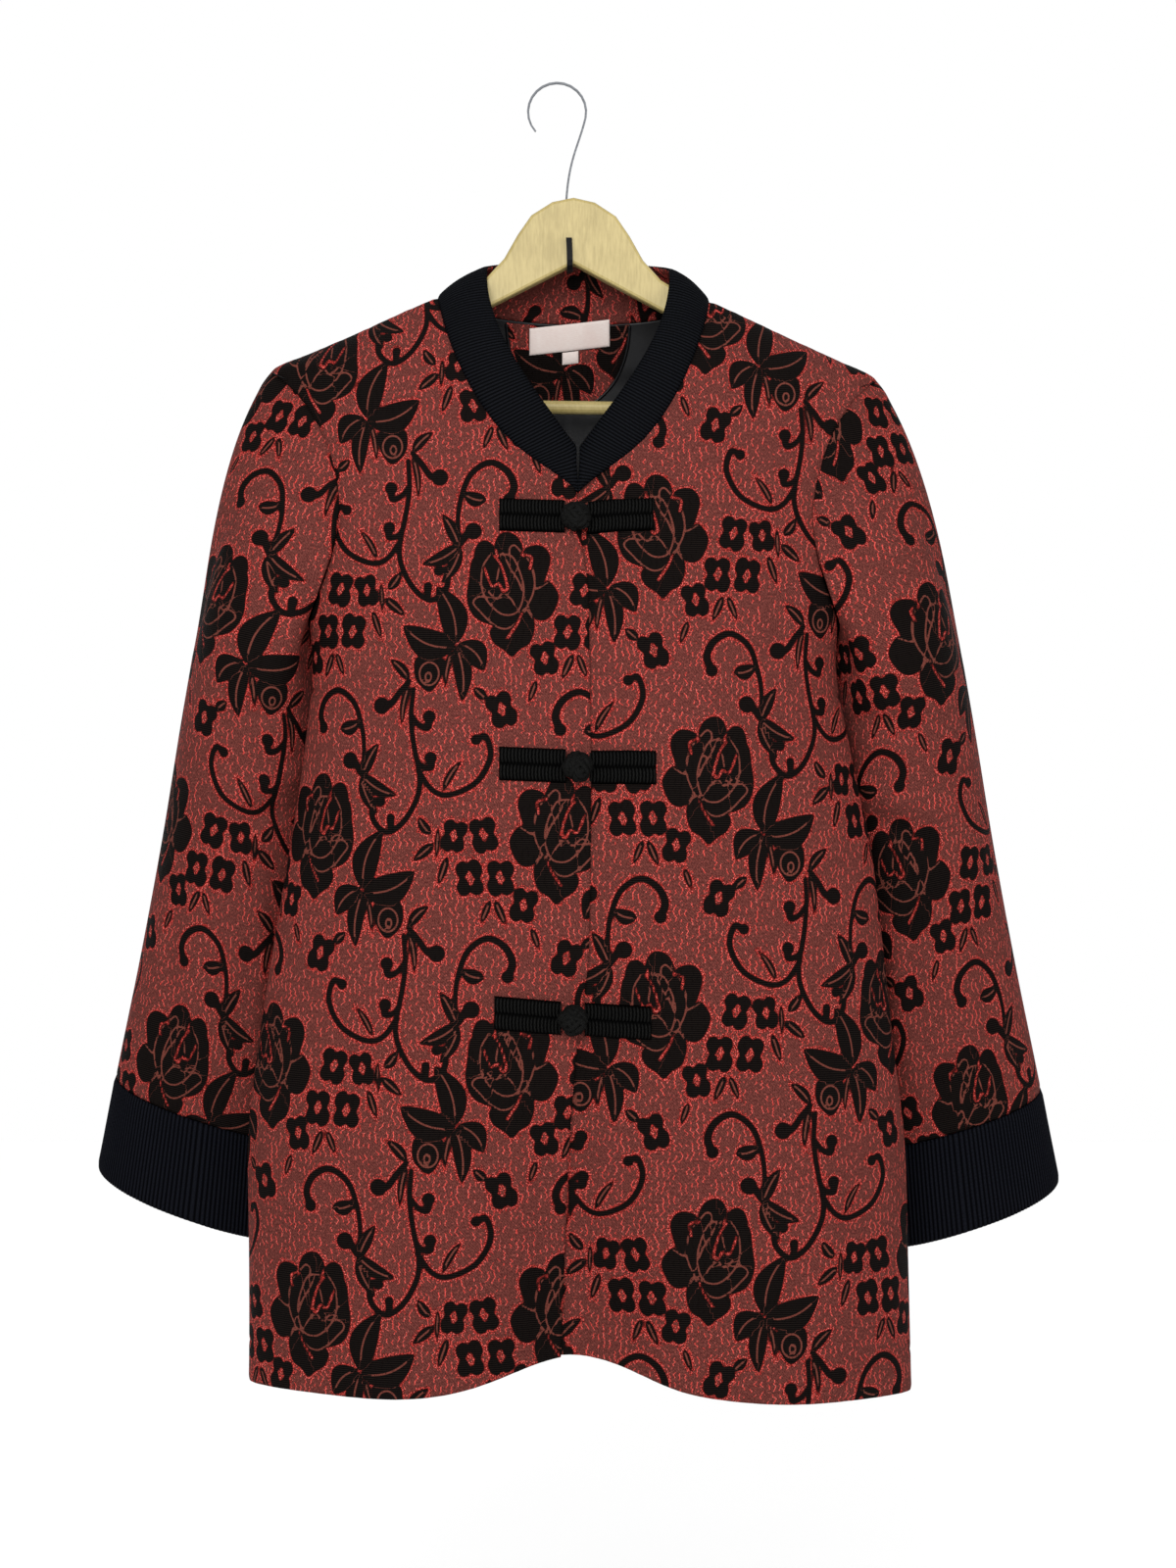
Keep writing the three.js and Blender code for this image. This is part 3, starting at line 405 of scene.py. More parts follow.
def panel_place(side, u, row, back, middle_x):
    """s and z of a panel at u, from its middle edge to its side, and at a row, from hem to neck."""
    cut, edge_z = side_edge(row, ARMHOLE_BACK if back else ARMHOLE_FRONT)
    gap = -(TUCK / 2) / quarter_length(side, edge_z, back)
    middle_z = middle_height(row, back)
    middle = middle_x(middle_z) * side / quarter_length(side, middle_z, back)
    s = mix(middle, 1 - cut - gap, u)
    z = mix(middle_z, edge_z, u)
    if not back:
        x = body_point(side, s, z)[..., 0]
        hem_z = mix(SIDE_HEM, CENTRE_HEM, bell(x, HEM_PEAK_WIDTH))
        low = np.where(row < SIDE_ROWS, (1 - row / SIDE_ROWS) ** 2, 0)
        z = z + (hem_z - mix(CENTRE_HEM, SIDE_HEM, u)) * low
    rise = clamp01((row - SIDE_ROWS) / (ROWS - SIDE_ROWS)) ** 3
    top_x, top_z = neckline(side, u[:1], back)
    reach = np.where(u[:1] >= 1, 1 - gap[-1:], share_at(side, top_x, top_z, back))
    s = s + (np.where(u <= 0, middle, reach) - mix(middle, 1 - gap, u)) * rise
    z = z + (top_z - mix(BACK_NECK if back else FRONT_NECK, NECK_TOP, u)) * rise
    return s, z


def spaced_rows(low, hole, top):
    """Row numbers with so many steps below the armpit, along the armhole and along the shoulder."""
    a = np.linspace(0, SIDE_ROWS, low + 1)
    b = np.linspace(SIDE_ROWS, SIDE_ROWS + ARMHOLE_ROWS, hole + 1)[1:]
    c = np.linspace(SIDE_ROWS + ARMHOLE_ROWS, ROWS, top + 1)[1:]
    return np.concatenate([a, b, c])


def panel(side, back, cols, steps, middle_x):
    """A dense panel: its points, and how far each lies from the centre along the cloth."""
    u = np.linspace(0, 1, cols + 1)[None, :]
    row = spaced_rows(*steps)[:, None]
    u, row = np.broadcast_arrays(u, row)
    s, z = panel_place(side, u, row, back, middle_x)
    points = body_point(side, 2 - s if back else s, z)
    return points, side * s * quarter_length(side, z, back)


def grid_normals(points, side, around=False):
    """Outward directions of a grid whose columns run outward on the given side and whose rows rise."""
    if around:
        wide = np.concatenate([points[:, -1:], points, points[:, :1]], axis=1)
        across = (wide[:, 2:] - wide[:, :-2]) / 2
    else:
        across = np.gradient(points, axis=1)
    return unit(np.cross(across, np.gradient(points, axis=0)) * side)


def placed(points):
    """Garment points in the part's frame, in metres."""
    x, y, z = np.moveaxis(points, -1, 0)
    return np.stack([x + GARMENT_X, y, z - SLOPE * x], axis=-1) * MM


# ---- meshes ----

INNER_STEP = 4                     # the inner side of a shell keeps every fourth point


def make_mesh(name, points, faces, smooth, material_index, materials, fields=None):
    """A mesh from an array of points and lists of faces of one length each."""
    mesh = bpy.data.meshes.new(name)
    corners = np.concatenate([f.ravel() for f in faces])
    sizes = np.concatenate([np.full(len(f), f.shape[1]) for f in faces])
    mesh.vertices.add(len(points))
    mesh.vertices.foreach_set("co", points.astype(np.float32).ravel())
    mesh.loops.add(len(corners))
    mesh.loops.foreach_set("vertex_index", corners.astype(np.int32))
    mesh.polygons.add(len(sizes))
    starts = np.concatenate([[0], np.cumsum(sizes)[:-1]])
    mesh.polygons.foreach_set("loop_start", starts.astype(np.int32))
    flat = np.concatenate([np.full(len(f), not soft) for f, soft in zip(faces, smooth)])
    kind = np.concatenate([np.full(len(f), i) for f, i in zip(faces, material_index)])
    mesh.polygons.foreach_set("material_index", kind.astype(np.int32))
    mesh.update(calc_edges=True)
    sharp = mesh.attributes.get("sharp_face") or mesh.attributes.new("sharp_face", "BOOLEAN", "FACE")
    sharp.data.foreach_set("value", flat)
    for key, values in (fields or {}).items():
        wide = values.ndim == 2
        attribute = mesh.attributes.new(key, "FLOAT_VECTOR" if wide else "FLOAT", "POINT")
        attribute.data.foreach_set("vector" if wide else "value", values.astype(np.float32).ravel())
    for material in materials:
        mesh.materials.append(material)
    mesh.validate()
    thing = bpy.data.objects.new(name, mesh)
    bpy.context.scene.collection.objects.link(thing)
    return thing


def quads(index):
    """The four-sided faces of a grid of point numbers."""
    return np.stack([index[:-1, :-1], index[:-1, 1:], index[1:, 1:], index[1:, :-1]], axis=-1).reshape(-1, 4)


def shell(name, outer, inner, materials, fields, around=False):
    """A closed wall: a fine outer grid, an inner grid with every few points, and the rim between them."""
    step = INNER_STEP
    rows, cols = outer.shape[:2]
    keep_r = np.arange(0, rows, step)
    keep_c = np.arange(0, cols, step)
    assert keep_r[-1] == rows - 1 and (around or keep_c[-1] == cols - 1), (name, rows, cols)
    fine = np.arange(rows * cols).reshape(rows, cols)
    coarse = rows * cols + np.arange(len(keep_r) * len(keep_c)).reshape(len(keep_r), len(keep_c))
    inner = inner[np.ix_(keep_r, keep_c)]
    points = np.concatenate([outer.reshape(-1, 3), inner.reshape(-1, 3)])
    if around:
        fine = np.concatenate([fine, fine[:, :1]], axis=1)
        coarse = np.concatenate([coarse, coarse[:, :1]], axis=1)

    def rim(edge, under):
        """Faces from a run of fine points to the coarse points under it."""
        spans = len(under) - 1
        fan = [edge[k: k + spans * step: step] for k in range(step + 1)]
        return np.stack([under[:-1]] + fan + [under[1:]], axis=-1)[:, ::-1]

    edges = [rim(fine[0], coarse[0])[:, ::-1], rim(fine[-1], coarse[-1])]
    if not around:
        edges += [rim(fine[:, 0], coarse[:, 0]), rim(fine[:, -1], coarse[:, -1])[:, ::-1]]
    faces = [quads(fine), quads(coarse)[:, ::-1], np.concatenate([e[:, ::-1] for e in edges])]
    row, col = rows // 2, cols // 2
    a, b, c = outer[row, col], outer[row, col + 1], outer[row + 1, col + 1]
    if np.dot(np.cross(b - a, c - a), a - inner[len(keep_r) // 2, len(keep_c) // 2]) < 0:
        faces = [f[:, ::-1] for f in faces]
    both = {}
    for key, values in fields.items():
        small = values[np.ix_(keep_r, keep_c)]
        tail = values.shape[2:]
        both[key] = np.concatenate([values.reshape((-1,) + tail), small.reshape((-1,) + tail)])
    kinds = [0, min(1, len(materials) - 1), 0]
    return make_mesh(name, placed(points), faces, [True, True, False], kinds, materials, both)


def cloth_place(u, v):
    """Places on the cloth in millimetres, for the materials: u across and v up."""
    u, v = np.broadcast_arrays(u, v)
    return np.stack([u, v, np.zeros(u.shape)], axis=-1)


# ---- the woven pattern: motifs charted in millimetres round the rose's middle, x right and y up ----

REPEAT_WIDE = 160
REPEAT_HIGH = 304
SECOND = {"x": 37, "y": -156}      # the mirrored rose, from the first
CHART_PITCH = 0.5
GROUP_SIDE = 100                   # a rose and all that goes with it reaches so far from its middle
GROUP_DOWN = 155
GROUP_UP = 50
WEFT_EDGE = 1.6                    # width of the bright edge round a motif
STEM_SPREAD = 0.4                  # the woven stems are this much wider on each side than charted
BALL_SHARE = 0.8                   # the ball at a stroke's end, woven this much smaller than charted
STROKE_STEPS = 7                   # straight runs between two points of a stroke
VEIN_REACH = 2.2                   # the vein field is true so near to a vein
FAR = 9.0                          # and holds this value elsewhere


def to_line(x, y, x0, y0, x1, y1):
    """Distance to a straight run, how far along it the nearest point is, and the side."""
    dx, dy = x1 - x0, y1 - y0
    t = clamp01(((x - x0) * dx + (y - y0) * dy) / (dx * dx + dy * dy))
    side = (x - x0) * dy - (y - y0) * dx
    return np.hypot(x - x0 - t * dx, y - y0 - t * dy), t, side


def turned(x, y, cx, cy, turn):
    """Places measured from (cx, cy) along axes turned by so many degrees."""
    c, s = math.cos(math.radians(turn)), math.sin(math.radians(turn))
    return (x - cx) * c + (y - cy) * s, -(x - cx) * s + (y - cy) * c


def oval(x, y, cx, cy, rx, ry, turn=0):
    """Roughly how far inside an oval each point is."""
    px, py = turned(x, y, cx, cy, turn)
    k = np.hypot(px / rx, py / ry)
    g = np.hypot(px / rx**2, py / ry**2) + 1e-6
    return np.where(k < 1e-3, min(rx, ry), (1 - k) * k / g)


def bowed_line(x, y, x0, y0, x1, y1, bow):
    """Each point's share of the way along a line, its distance aside from the bow, and the line's length."""
    length = math.hypot(x1 - x0, y1 - y0)
    ax, ay = (x1 - x0) / length, (y1 - y0) / length
    along = ((x - x0) * ax + (y - y0) * ay) / length
    side = (x - x0) * ay - (y - y0) * ax
    return along, side - bow * length * np.sin(math.pi * clamp01(along)), length


def leaf(x, y, x0, y0, x1, y1, width, bow=0.0):
    """A pointed leaf from its foot to its tip, and its vein; bow bends it sideways."""
    along, side, length = bowed_line(x, y, x0, y0, x1, y1, bow)
    inside = clamp01(along)
    half = width / 2 * (np.sin(math.pi * inside**0.8)) ** 0.75
    past = np.maximum(np.maximum(-along, along - 1), 0) * length
    body = np.where(past > 0, -np.hypot(past, side), half - np.abs(side))
    vein = np.where((along > 0.12) & (along < 0.86), side, np.sign(side + 1e-6) * FAR)
    return body, vein


def stroke(x, y, points, start, end, ball=0.0):
    """A curved line that grows from one width to another, with a ball at its end."""
    curve = smooth_line(points, steps=STROKE_STEPS)
    best = np.full(x.shape, -99.0)
    for k in range(len(curve) - 1):
        d, along, _ = to_line(x, y, *curve[k], *curve[k + 1])
        share = (k + along) / (len(curve) - 1)
        best = np.maximum(best, mix(start, end, share) / 2 - d)
    if ball:
        best = np.maximum(best, BALL_SHARE * ball - np.hypot(x - curve[-1][0], y - curve[-1][1]))
    return best


def parity(*fields):
    """A field whose zero lines are the edges of all the given shapes."""
    sign = np.ones(fields[0].shape)
    size = np.full(fields[0].shape, 99.0)
    for f in fields:
        sign = sign * np.where(f > 0, 1, -1)
        size = np.minimum(size, np.abs(f))
    return sign * size


def smooth_line(points, closed=False, steps=6):
    """A smooth curve through points, as short straight runs."""
    pts = np.array(points, float)
    ext = np.concatenate([pts[-1:], pts, pts[:2]]) if closed else carried_on(pts)
    weights = cubic_weights((np.arange(steps) / steps)[:, None])
    runs = [sum(w * ext[i + k] for k, w in enumerate(weights)) for i in range(len(ext) - 3)]
    return np.concatenate(runs + [ext[-2:-1]])


def blob(x, y, points):
    """How far inside a smooth closed outline each point is."""
    line = smooth_line(points, closed=True)
    nearest = np.full(x.shape, 99.0)
    inside = np.zeros(x.shape, bool)
    for (x0, y0), (x1, y1) in zip(line[:-1], line[1:]):
        distance, _, _ = to_line(x, y, x0, y0, x1, y1)
        nearest = np.minimum(nearest, distance)
        if y0 != y1:
            crosses = ((y0 > y) != (y1 > y)) & (x < (x1 - x0) * (y - y0) / (y1 - y0) + x0)
            inside = inside ^ crosses
    return np.where(inside, nearest, -nearest)


def vein_lines(x, y, lines):
    """A field that is zero on each of the lines and far from zero away from them."""
    nearest = np.full(x.shape, 99.0)
    sign = np.ones(x.shape)
    for points in lines:
        line = smooth_line(points)
        own = np.full(x.shape, 99.0)
        turn = np.ones(x.shape)
        for (x0, y0), (x1, y1) in zip(line[:-1], line[1:]):
            distance, _, side = to_line(x, y, x0, y0, x1, y1)
            closer = distance < own
            turn = np.where(closer, np.where(side > 0, 1, -1), turn)
            own = np.where(closer, distance, own)
        sign = sign * turn
        nearest = np.minimum(nearest, own)
    return sign * np.where(nearest < VEIN_REACH, nearest, FAR)


ROSE_AT = (6.5, 2)
ROSE_PETALS = [
    [(-30, 8), (-27, 23), (-13, 28), (2, 25), (11, 15), (13, -3), (7, -13), (-3, -22), (-15, -21), (-26, -16),
     (-31, -5)],
    [(-26, 22), (-25, 31), (-20, 34), (-15, 31), (-12, 23)],
    [(-13, 26), (-13, 34), (-9, 39), (-3, 39), (2, 35), (4, 27), (-4, 20)],
    [(5, 27), (11, 31), (18, 30), (22, 23), (20, 13), (16, 4), (10, 4), (8, 15)],
    [(11, 3), (16, 5), (21, 8), (27, 0), (26, -8), (21, -16), (14, -17), (7, -10)],
    [(6, -9), (11, -15), (12, -23), (9, -32), (3, -36), (-2, -41), (-7, -37), (-14, -32), (-16, -24),
     (-8, -17)],
]
ROSE_SLITS = [
    [(-14, 24), (-10, 19), (-7, 11), (-5, 3)], [(-18, 10), (-15, 4), (-11, 6), (-8, 1), (-5, 3)],
    [(-20, 16), (-18, 10)], [(4, -13), (1, -20), (-5, -29)], [(6, 25), (10, 23), (9, 16)],
    [(-13, 28), (-12, 24)],
]
ROSE_VEINS = [
    [(-17, 24), (-21, 17), (-22, 6), (-20, -2), (-15, -9), (-8, -14), (0, -13), (4, -6), (5, 4), (2, 15),
     (-3, 24), (-12, 25)],
    [(-4, 24), (-4, 29), (-1, 31), (3, 27), (9, 20), (12, 10), (11, 0), (7, -9)],
    [(-6, 21), (-3, 15), (1, 9), (4, 2)],
    [(-18, -3), (-24, -3), (-27, -7), (-22, -13), (-16, -19), (-9, -23), (-3, -22), (2, -17), (6, -10),
     (11, -16)],
    [(-17, 0), (-12, -4), (-8, 0), (-3, -4), (-1, -7)],
    [(6, 26), (10, 17), (12, 8), (13, 3), (20, 7)],
    [(-11, 15), (-12, 9)],
]


def rose(x, y):
    x = x - ROSE_AT[0]
    y = y - ROSE_AT[1]
    body = np.max([blob(x, y, petal) for petal in ROSE_PETALS], axis=0)
    for slit in ROSE_SLITS:
        body = np.minimum(body, -stroke(x, y, slit, 1.5, 2.1))
    return body, vein_lines(x, y, ROSE_VEINS)


BLOSSOM_EDGE = [
    (-6.5, 10.4), (-2.5, 11), (0, 9), (3.4, 11.2), (7.8, 9.2), (8.2, 4.5), (6.6, 0.6), (8.4, -4), (6.4, -10),
    (2, -11.6), (-0.6, -9.2), (-4, -10.8), (-8.2, -7.8), (-8, -3), (-6.5, 0.4), (-8.6, 5.5),
]


def blossom(x, y, cx, cy, turn=0, size=1.0):
    """A small flower round an open, star-shaped middle."""
    px, py = (place / size for place in turned(x, y, cx, cy, turn))
    eye = np.maximum(oval(px, py, 0.3, 0.4, 1.9, 4.8, -8), oval(px, py, 0.2, 0.4, 3.3, 1.7, 18))
    return np.minimum(blob(px, py, BLOSSOM_EDGE), -eye) * size, np.full(x.shape, FAR)


def bud(x, y, cx, cy):
    edge = [(-8, 11), (0, 10.5), (10, 10), (9.5, 1), (5, -8), (0, -11), (-7, -5), (-9.5, 2)]
    body = blob(x - cx, y - cy, edge)
    return body, parity(oval(x, y, cx + 0.5, cy + 0.5, 6.4, 7.4), oval(x, y, cx, cy - 1.5, 1.9, 2.9))


BLOSSOMS = [
    (50, 4, -10, 0.98), (39.5, -23, 0, 1.0), (25, -40, 14, 0.95), (-2, -73, 22, 1.0), (59, -23, 176, 1.0),
    (69, 3, 12, 0.9),
]
LEAVES = [  # foot, tip, width, bow
    (-31, -31, -44, 6, 18, 0.1), (-32, -34, -66, -20, 20, -0.12), (-29, -31, -13, -48, 16, -0.14),
    (-31, -33, -27, -68, 11.5, -0.07), (-34, -36, -38, -60, 4, 0.04),
    (-62, -54, -75, -41, 7, 0.06), (-62, -57, -66, -84, 4.4, 0.05), (-39, -124, -27, -105, 4.6, -0.05),
    (-12, -66, -20, -59, 6.5, 0.0),
    (84, 4, 92, 15, 6.5, 0.05), (82, -2, 95, -13, 6.5, 0.0), (79, 8, 80, -12, 3.2, 0.0),
    (73, -10, 79, -28, 5, 0.0),
    (46, -37, 52, -52, 4.4, 0.0), (43, -37, 36, -53, 5, 0.0), (20, -54, 15, -68, 4.2, 0.0),
    (50, -86, 65, -81, 9.5, 0.1), (67, -116, 78, -95, 8.5, -0.04), (66, -115, 91, -128, 9.5, 0.08),
    (66, -117, 78, -140, 8, 0.06),
]
STROKES = [  # the points of the line, its two widths, and the ball at its end
    ([(67, -114), (68, -98), (66, -84), (60, -69), (48, -61), (37, -66), (32, -76), (35, -85)],
     1.6, 4.4, 4.4),
    ([(66, -114), (62, -108), (58, -106)], 3.2, 5, 6.2),
    ([(-59, -60), (-60, -78), (-58, -95), (-54, -116), (-56, -130), (-65, -145), (-76, -151), (-85, -143),
      (-85, -132), (-80, -132)], 2.2, 3.0, 3.6),
    ([(-73, -151), (-73, -142)], 2.4, 4.6, 2.6),
    ([(-55, -112), (-46, -124), (-35, -127), (-18, -119), (-9, -103), (-12, -90), (-18, -92)], 2.4, 3.0, 3.7),
    ([(-60, -76), (-55, -83), (-49, -85), (-48, -78)], 1.8, 4.2, 4.6),
    ([(-57, -103), (-53, -109), (-47, -110), (-47, -104)], 1.8, 4.2, 4.4),
    ([(-62, -55), (-68, -62), (-74, -70), (-80, -71)], 2.4, 4.0, 6.2),
]


def motif_group(x, y):
    """All the shapes that go with one rose: how far inside a shape each point is, and the vein field."""
    body, vein = rose(x, y)
    parts = [blossom(x, y, *row) for row in BLOSSOMS] + [leaf(x, y, *row) for row in LEAVES]
    parts.append(bud(x, y, -49, -51))
    parts += [(stroke(x, y, *row) + STEM_SPREAD, np.full(x.shape, FAR)) for row in STROKES]
    for inside, line in parts:
        vein = np.where(inside > body, line, vein)
        body = np.maximum(body, inside)
    return body, vein


def chart():
    """The repeat on a fine grid, the second row of roses mirrored."""
    wide = round(REPEAT_WIDE / CHART_PITCH)
    high = round(REPEAT_HIGH / CHART_PITCH)
    body = np.full((high, wide), -99.0)
    vein = np.full((high, wide), FAR)
    x = np.arange(-GROUP_SIDE, GROUP_SIDE, CHART_PITCH)
    y = np.arange(-GROUP_DOWN, GROUP_UP, CHART_PITCH)
    gx, gy = np.meshgrid(x, y)
    inside, line = motif_group(gx, gy)
    for mirror, ox, oy in ((1, 0, 0), (-1, SECOND["x"], SECOND["y"])):
        col = np.round((mirror * x + ox) / CHART_PITCH).astype(int) % wide
        row = np.round((y + oy) / CHART_PITCH).astype(int) % high
        for half in (slice(0, len(x) // 2), slice(len(x) // 2, len(x))):
            spot = np.ix_(row, col[half])
            better = inside[:, half] > body[spot]
            vein[spot] = np.where(better, line[:, half], vein[spot])
            body[spot] = np.where(better, inside[:, half], body[spot])
    return body, vein


CHART = chart()


def read_chart(u, v):
    """The two fields at cloth places u (across) and v (up), in millimetres."""
    found = []
    for table in CHART:
        high, wide = table.shape
        x = u / CHART_PITCH
        y = v / CHART_PITCH
        i = np.floor(x).astype(int)
        k = np.floor(y).astype(int)
        fx, fy = x - i, y - k
        below, above = (table[row % high, i % wide] * (1 - fx) + table[row % high, (i + 1) % wide] * fx
                        for row in (k, k + 1))
        found.append(below * (1 - fy) + above * fy)
    return found


def cloth_fields(u, v, rose_u, rose_v):
    """The attributes of patterned cloth, with a rose of the first kind at (rose_u, rose_v)."""
    body, vein = read_chart(u - rose_u, v - rose_v)
    return {"motif": body, "vein": vein, "cloth": cloth_place(u, v)}


# ---- materials ----


class Nodes:
    """Short names for making one material's nodes."""

    def __init__(self, name):
        self.material = bpy.data.materials.new(name)
        self.material.use_nodes = True
        self.tree = self.material.node_tree
        self.tree.nodes.clear()
        self.output = self.tree.nodes.new("ShaderNodeOutputMaterial")
        self.shader = self.tree.nodes.new("ShaderNodeBsdfPrincipled")
        self.link(self.shader.outputs[0], self.output.inputs[0])

    def link(self, a, b):
        self.tree.links.new(a, b)

    def put(self, value, socket):
        if isinstance(value, bpy.types.NodeSocket):
            self.link(value, socket)
        else:
            socket.default_value = value

    def set(self, **values):
        for key, value in values.items():
            self.put(value, self.shader.inputs[key.replace("_", " ")])

    def node(self, kind, *values, **settings):
        """A node with these settings, its first sockets set or linked in order."""
        node = self.tree.nodes.new("ShaderNode" + kind)
        for key, value in settings.items():
            setattr(node, key, value)
        for value, socket in zip(values, node.inputs):
            self.put(value, socket)
        return node

    def attribute(self, name, output="Fac"):
        return self.node("Attribute", attribute_name=name).outputs[output]

    def math(self, operation, a, b=0.0):
        return self.node("Math", a, b, operation=operation).outputs[0]

    def plus(self, a, b):
        return self.math("ADD", a, b)

    def minus(self, a, b):
        return self.math("SUBTRACT", a, b)

    def times(self, a, b):
        return self.math("MULTIPLY", a, b)

    def scale(self, vector, x, y, z=1.0):
        return self.node("VectorMath", vector, (x, y, z), operation="MULTIPLY").outputs[0]

    def join(self, x, y):
        return self.node("CombineXYZ", x, y).outputs[0]

    def part_of(self, vector, axis):
        return self.node("SeparateXYZ", vector).outputs["XYZ".index(axis)]

    def object_place(self):
        return self.node("TexCoord").outputs["Object"]

    def noise(self, vector, scale, detail=1.0):
        node = self.node("TexNoise")
        for key, value in (("Vector", vector), ("Scale", scale), ("Detail", detail)):
            self.put(value, node.inputs[key])
        return node.outputs["Fac"]

    def fade(self, value, low, high):
        """0 below low, 1 above high."""
        node = self.node("MapRange", interpolation_type="SMOOTHSTEP")
        for key, setting in (("Value", value), ("From Min", low), ("From Max", high)):
            self.put(setting, node.inputs[key])
        return node.outputs["Result"]

    def mix(self, factor, a, b):
        node = self.node("Mix", factor, data_type="RGBA")
        self.put(a, node.inputs[6])
        self.put(b, node.inputs[7])
        return node.outputs[2]

    def bump(self, height, distance, strength=1.0):
        node = self.node("Bump")
        for key, value in (("Distance", distance), ("Strength", strength), ("Height", height)):
            self.put(value, node.inputs[key])
        self.link(node.outputs[0], self.shader.inputs["Normal"])


def srgb(red, green, blue):
    """A colour given as 0 to 255 on a screen, as Blender's linear colour."""
    def linear(c):
        c = c / 255
        return c / 12.92 if c <= 0.04045 else ((c + 0.055) / 1.055) ** 2.4
    return (linear(red), linear(green), linear(blue), 1)


SHADE = 0.5                        # the studio is this much brighter than colours as seen allow for
DASH_LANE = 3.7                    # between the upright runs of bright thread


def seen(red, green, blue):
    """A finish that looks like this colour, given as 0 to 255, under the studio's lights."""
    return tuple(c * SHADE for c in srgb(red, green, blue)[:3]) + (1,)


def brocade():
    n = Nodes("brocade")
    cloth = n.attribute("cloth", "Vector")
    motif = n.attribute("motif")
    vein = n.attribute("vein")
    grain = n.noise(n.scale(cloth, 1.0, 0.8), 1.5, 1.5)
    speck = n.noise(n.scale(cloth, 1.0, 0.7), 0.95, 0.5)
    # the ground: two threads, with thin wandering upright runs of the bright one
    x, y = n.part_of(cloth, "X"), n.part_of(cloth, "Y")
    wander = n.noise(n.scale(cloth, 0.05, 0.22), 1.0, 0.0)
    wriggle = n.noise(n.scale(cloth, 0.10, 0.62), 1.0, 0.0)
    bend = n.plus(n.times(wander, 1.2), n.times(wriggle, 0.75))
    lane = n.plus(n.math("DIVIDE", x, DASH_LANE), bend)
    off = n.times(n.math("ABSOLUTE", n.minus(n.math("FRACT", lane), 0.5)), DASH_LANE)
    number = n.times(n.math("FLOOR", lane), 7.31)
    runs = n.noise(n.join(number, n.times(y, 0.20)), 1.0, 1.0)
    dash = n.minus(1.0, n.fade(off, 0.22, 0.50))
    dash = n.times(dash, n.fade(runs, 0.49, 0.53))
    dash = n.times(dash, n.fade(grain, 0.30, 0.44))
    twill = n.math("SINE", n.times(n.plus(x, y), 3.6))
    dark = n.plus(n.noise(n.scale(cloth, 0.9, 0.5), 1.5, 1.0), n.times(twill, 0.07))
    ground = n.mix(n.fade(dark, 0.36, 0.66), seen(84, 38, 34), seen(122, 64, 57))
    ground = n.mix(n.fade(speck, 0.66, 0.74), ground, seen(168, 82, 74))
    # painted highlight: where the grain noise is high the bright metallic thread turns pale pink, a painted
    # glint of light on it
    painted_glint = n.fade(grain, 0.53, 0.66)
    ground = n.mix(dash, ground, n.mix(painted_glint, seen(232, 76, 68), seen(255, 140, 130)))
    # the motifs: near black with fine cross ribs, brown veins and a bright edge of broken loops
    rib_wave = n.math("SINE", n.times(n.part_of(cloth, "Y"), 2 * math.pi / 1.35))
    rib = n.fade(rib_wave, -0.4, 0.9)
    black = n.mix(rib, seen(5, 1, 1), seen(27, 21, 18))
    line = n.minus(1.0, n.fade(n.math("ABSOLUTE", vein), 0.42, 0.72))
    line = n.times(line, n.fade(motif, 0.5, 1.0))
    black = n.mix(n.times(line, n.fade(grain, 0.3, 0.46)), black, seen(122, 64, 54))
    ragged = n.times(n.minus(speck, 0.5), 7.0)
    rough_edge = n.plus(motif, n.times(n.minus(grain, 0.5), 2.4))
    inside = n.fade(rough_edge, -0.18, 0.18)
    near = n.fade(n.plus(motif, ragged), -WEFT_EDGE - 0.3, -WEFT_EDGE + 0.3)
    loops = n.fade(grain, 0.45, 0.54)
    # the pale pink in the bright loops is the same painted glint
    bright = n.mix(loops, seen(70, 18, 16), n.mix(painted_glint, seen(252, 70, 62), seen(255, 136, 126)))
    colour = n.mix(n.times(near, 0.92), ground, bright)
    colour = n.mix(inside, colour, black)
    n.set(Base_Color=colour, Roughness=0.7, Specular_IOR_Level=0.03)
    height = n.plus(n.times(rib, n.times(inside, 0.35)), n.times(dash, 0.6))
    height = n.plus(height, n.times(n.minus(near, inside), loops))
    height = n.plus(height, n.times(grain, 0.6))
    n.bump(height, 0.0005, 0.9)
    return n.material


def ribbed(name, low, high):
    """Black ribbed trim; the ribs are in the mesh, and the material adds the yarn, with a painted highlight
    on the rib crests and painted shade in the grooves.
    """
    n = Nodes(name)
    cloth = n.attribute("cloth", "Vector")
    twist = n.math("SINE", n.plus(n.times(n.part_of(cloth, "Y"), 2 * math.pi / 0.9),
                                  n.times(n.part_of(cloth, "X"), 2.2)))
    fuzz = n.noise(cloth, 1.4, 2.0)
    tone = n.plus(n.times(twist, 0.2), fuzz)
    # painted light: the rib attribute lifts the rib crests from the dark low colour to the light high one, a
    # painted highlight, and leaves painted shade in the grooves; the yarn's tone varies it
    top = n.times(n.fade(n.attribute("rib"), 0.35, 0.95), n.fade(tone, 0.1, 0.8))
    n.set(Base_Color=n.mix(top, low, high), Roughness=0.6, Specular_IOR_Level=0.02)
    n.bump(tone, 0.00025, 0.7)
    return n.material


def satin(name, low, high, roughness, gloss):
    n = Nodes(name)
    cloth = n.attribute("cloth", "Vector")
    threads = n.noise(n.scale(cloth, 0.35, 3.0), 1.0, 2.0)
    wave = n.noise(n.scale(cloth, 0.05, 0.03), 1.0, 2.0)
    tone = n.plus(n.times(threads, 0.6), n.times(wave, 0.6))
    n.set(Base_Color=n.mix(n.fade(tone, 0.3, 0.9), low, high), Roughness=roughness, Specular_IOR_Level=gloss)
    n.bump(threads, 0.00012, 0.5)
    return n.material


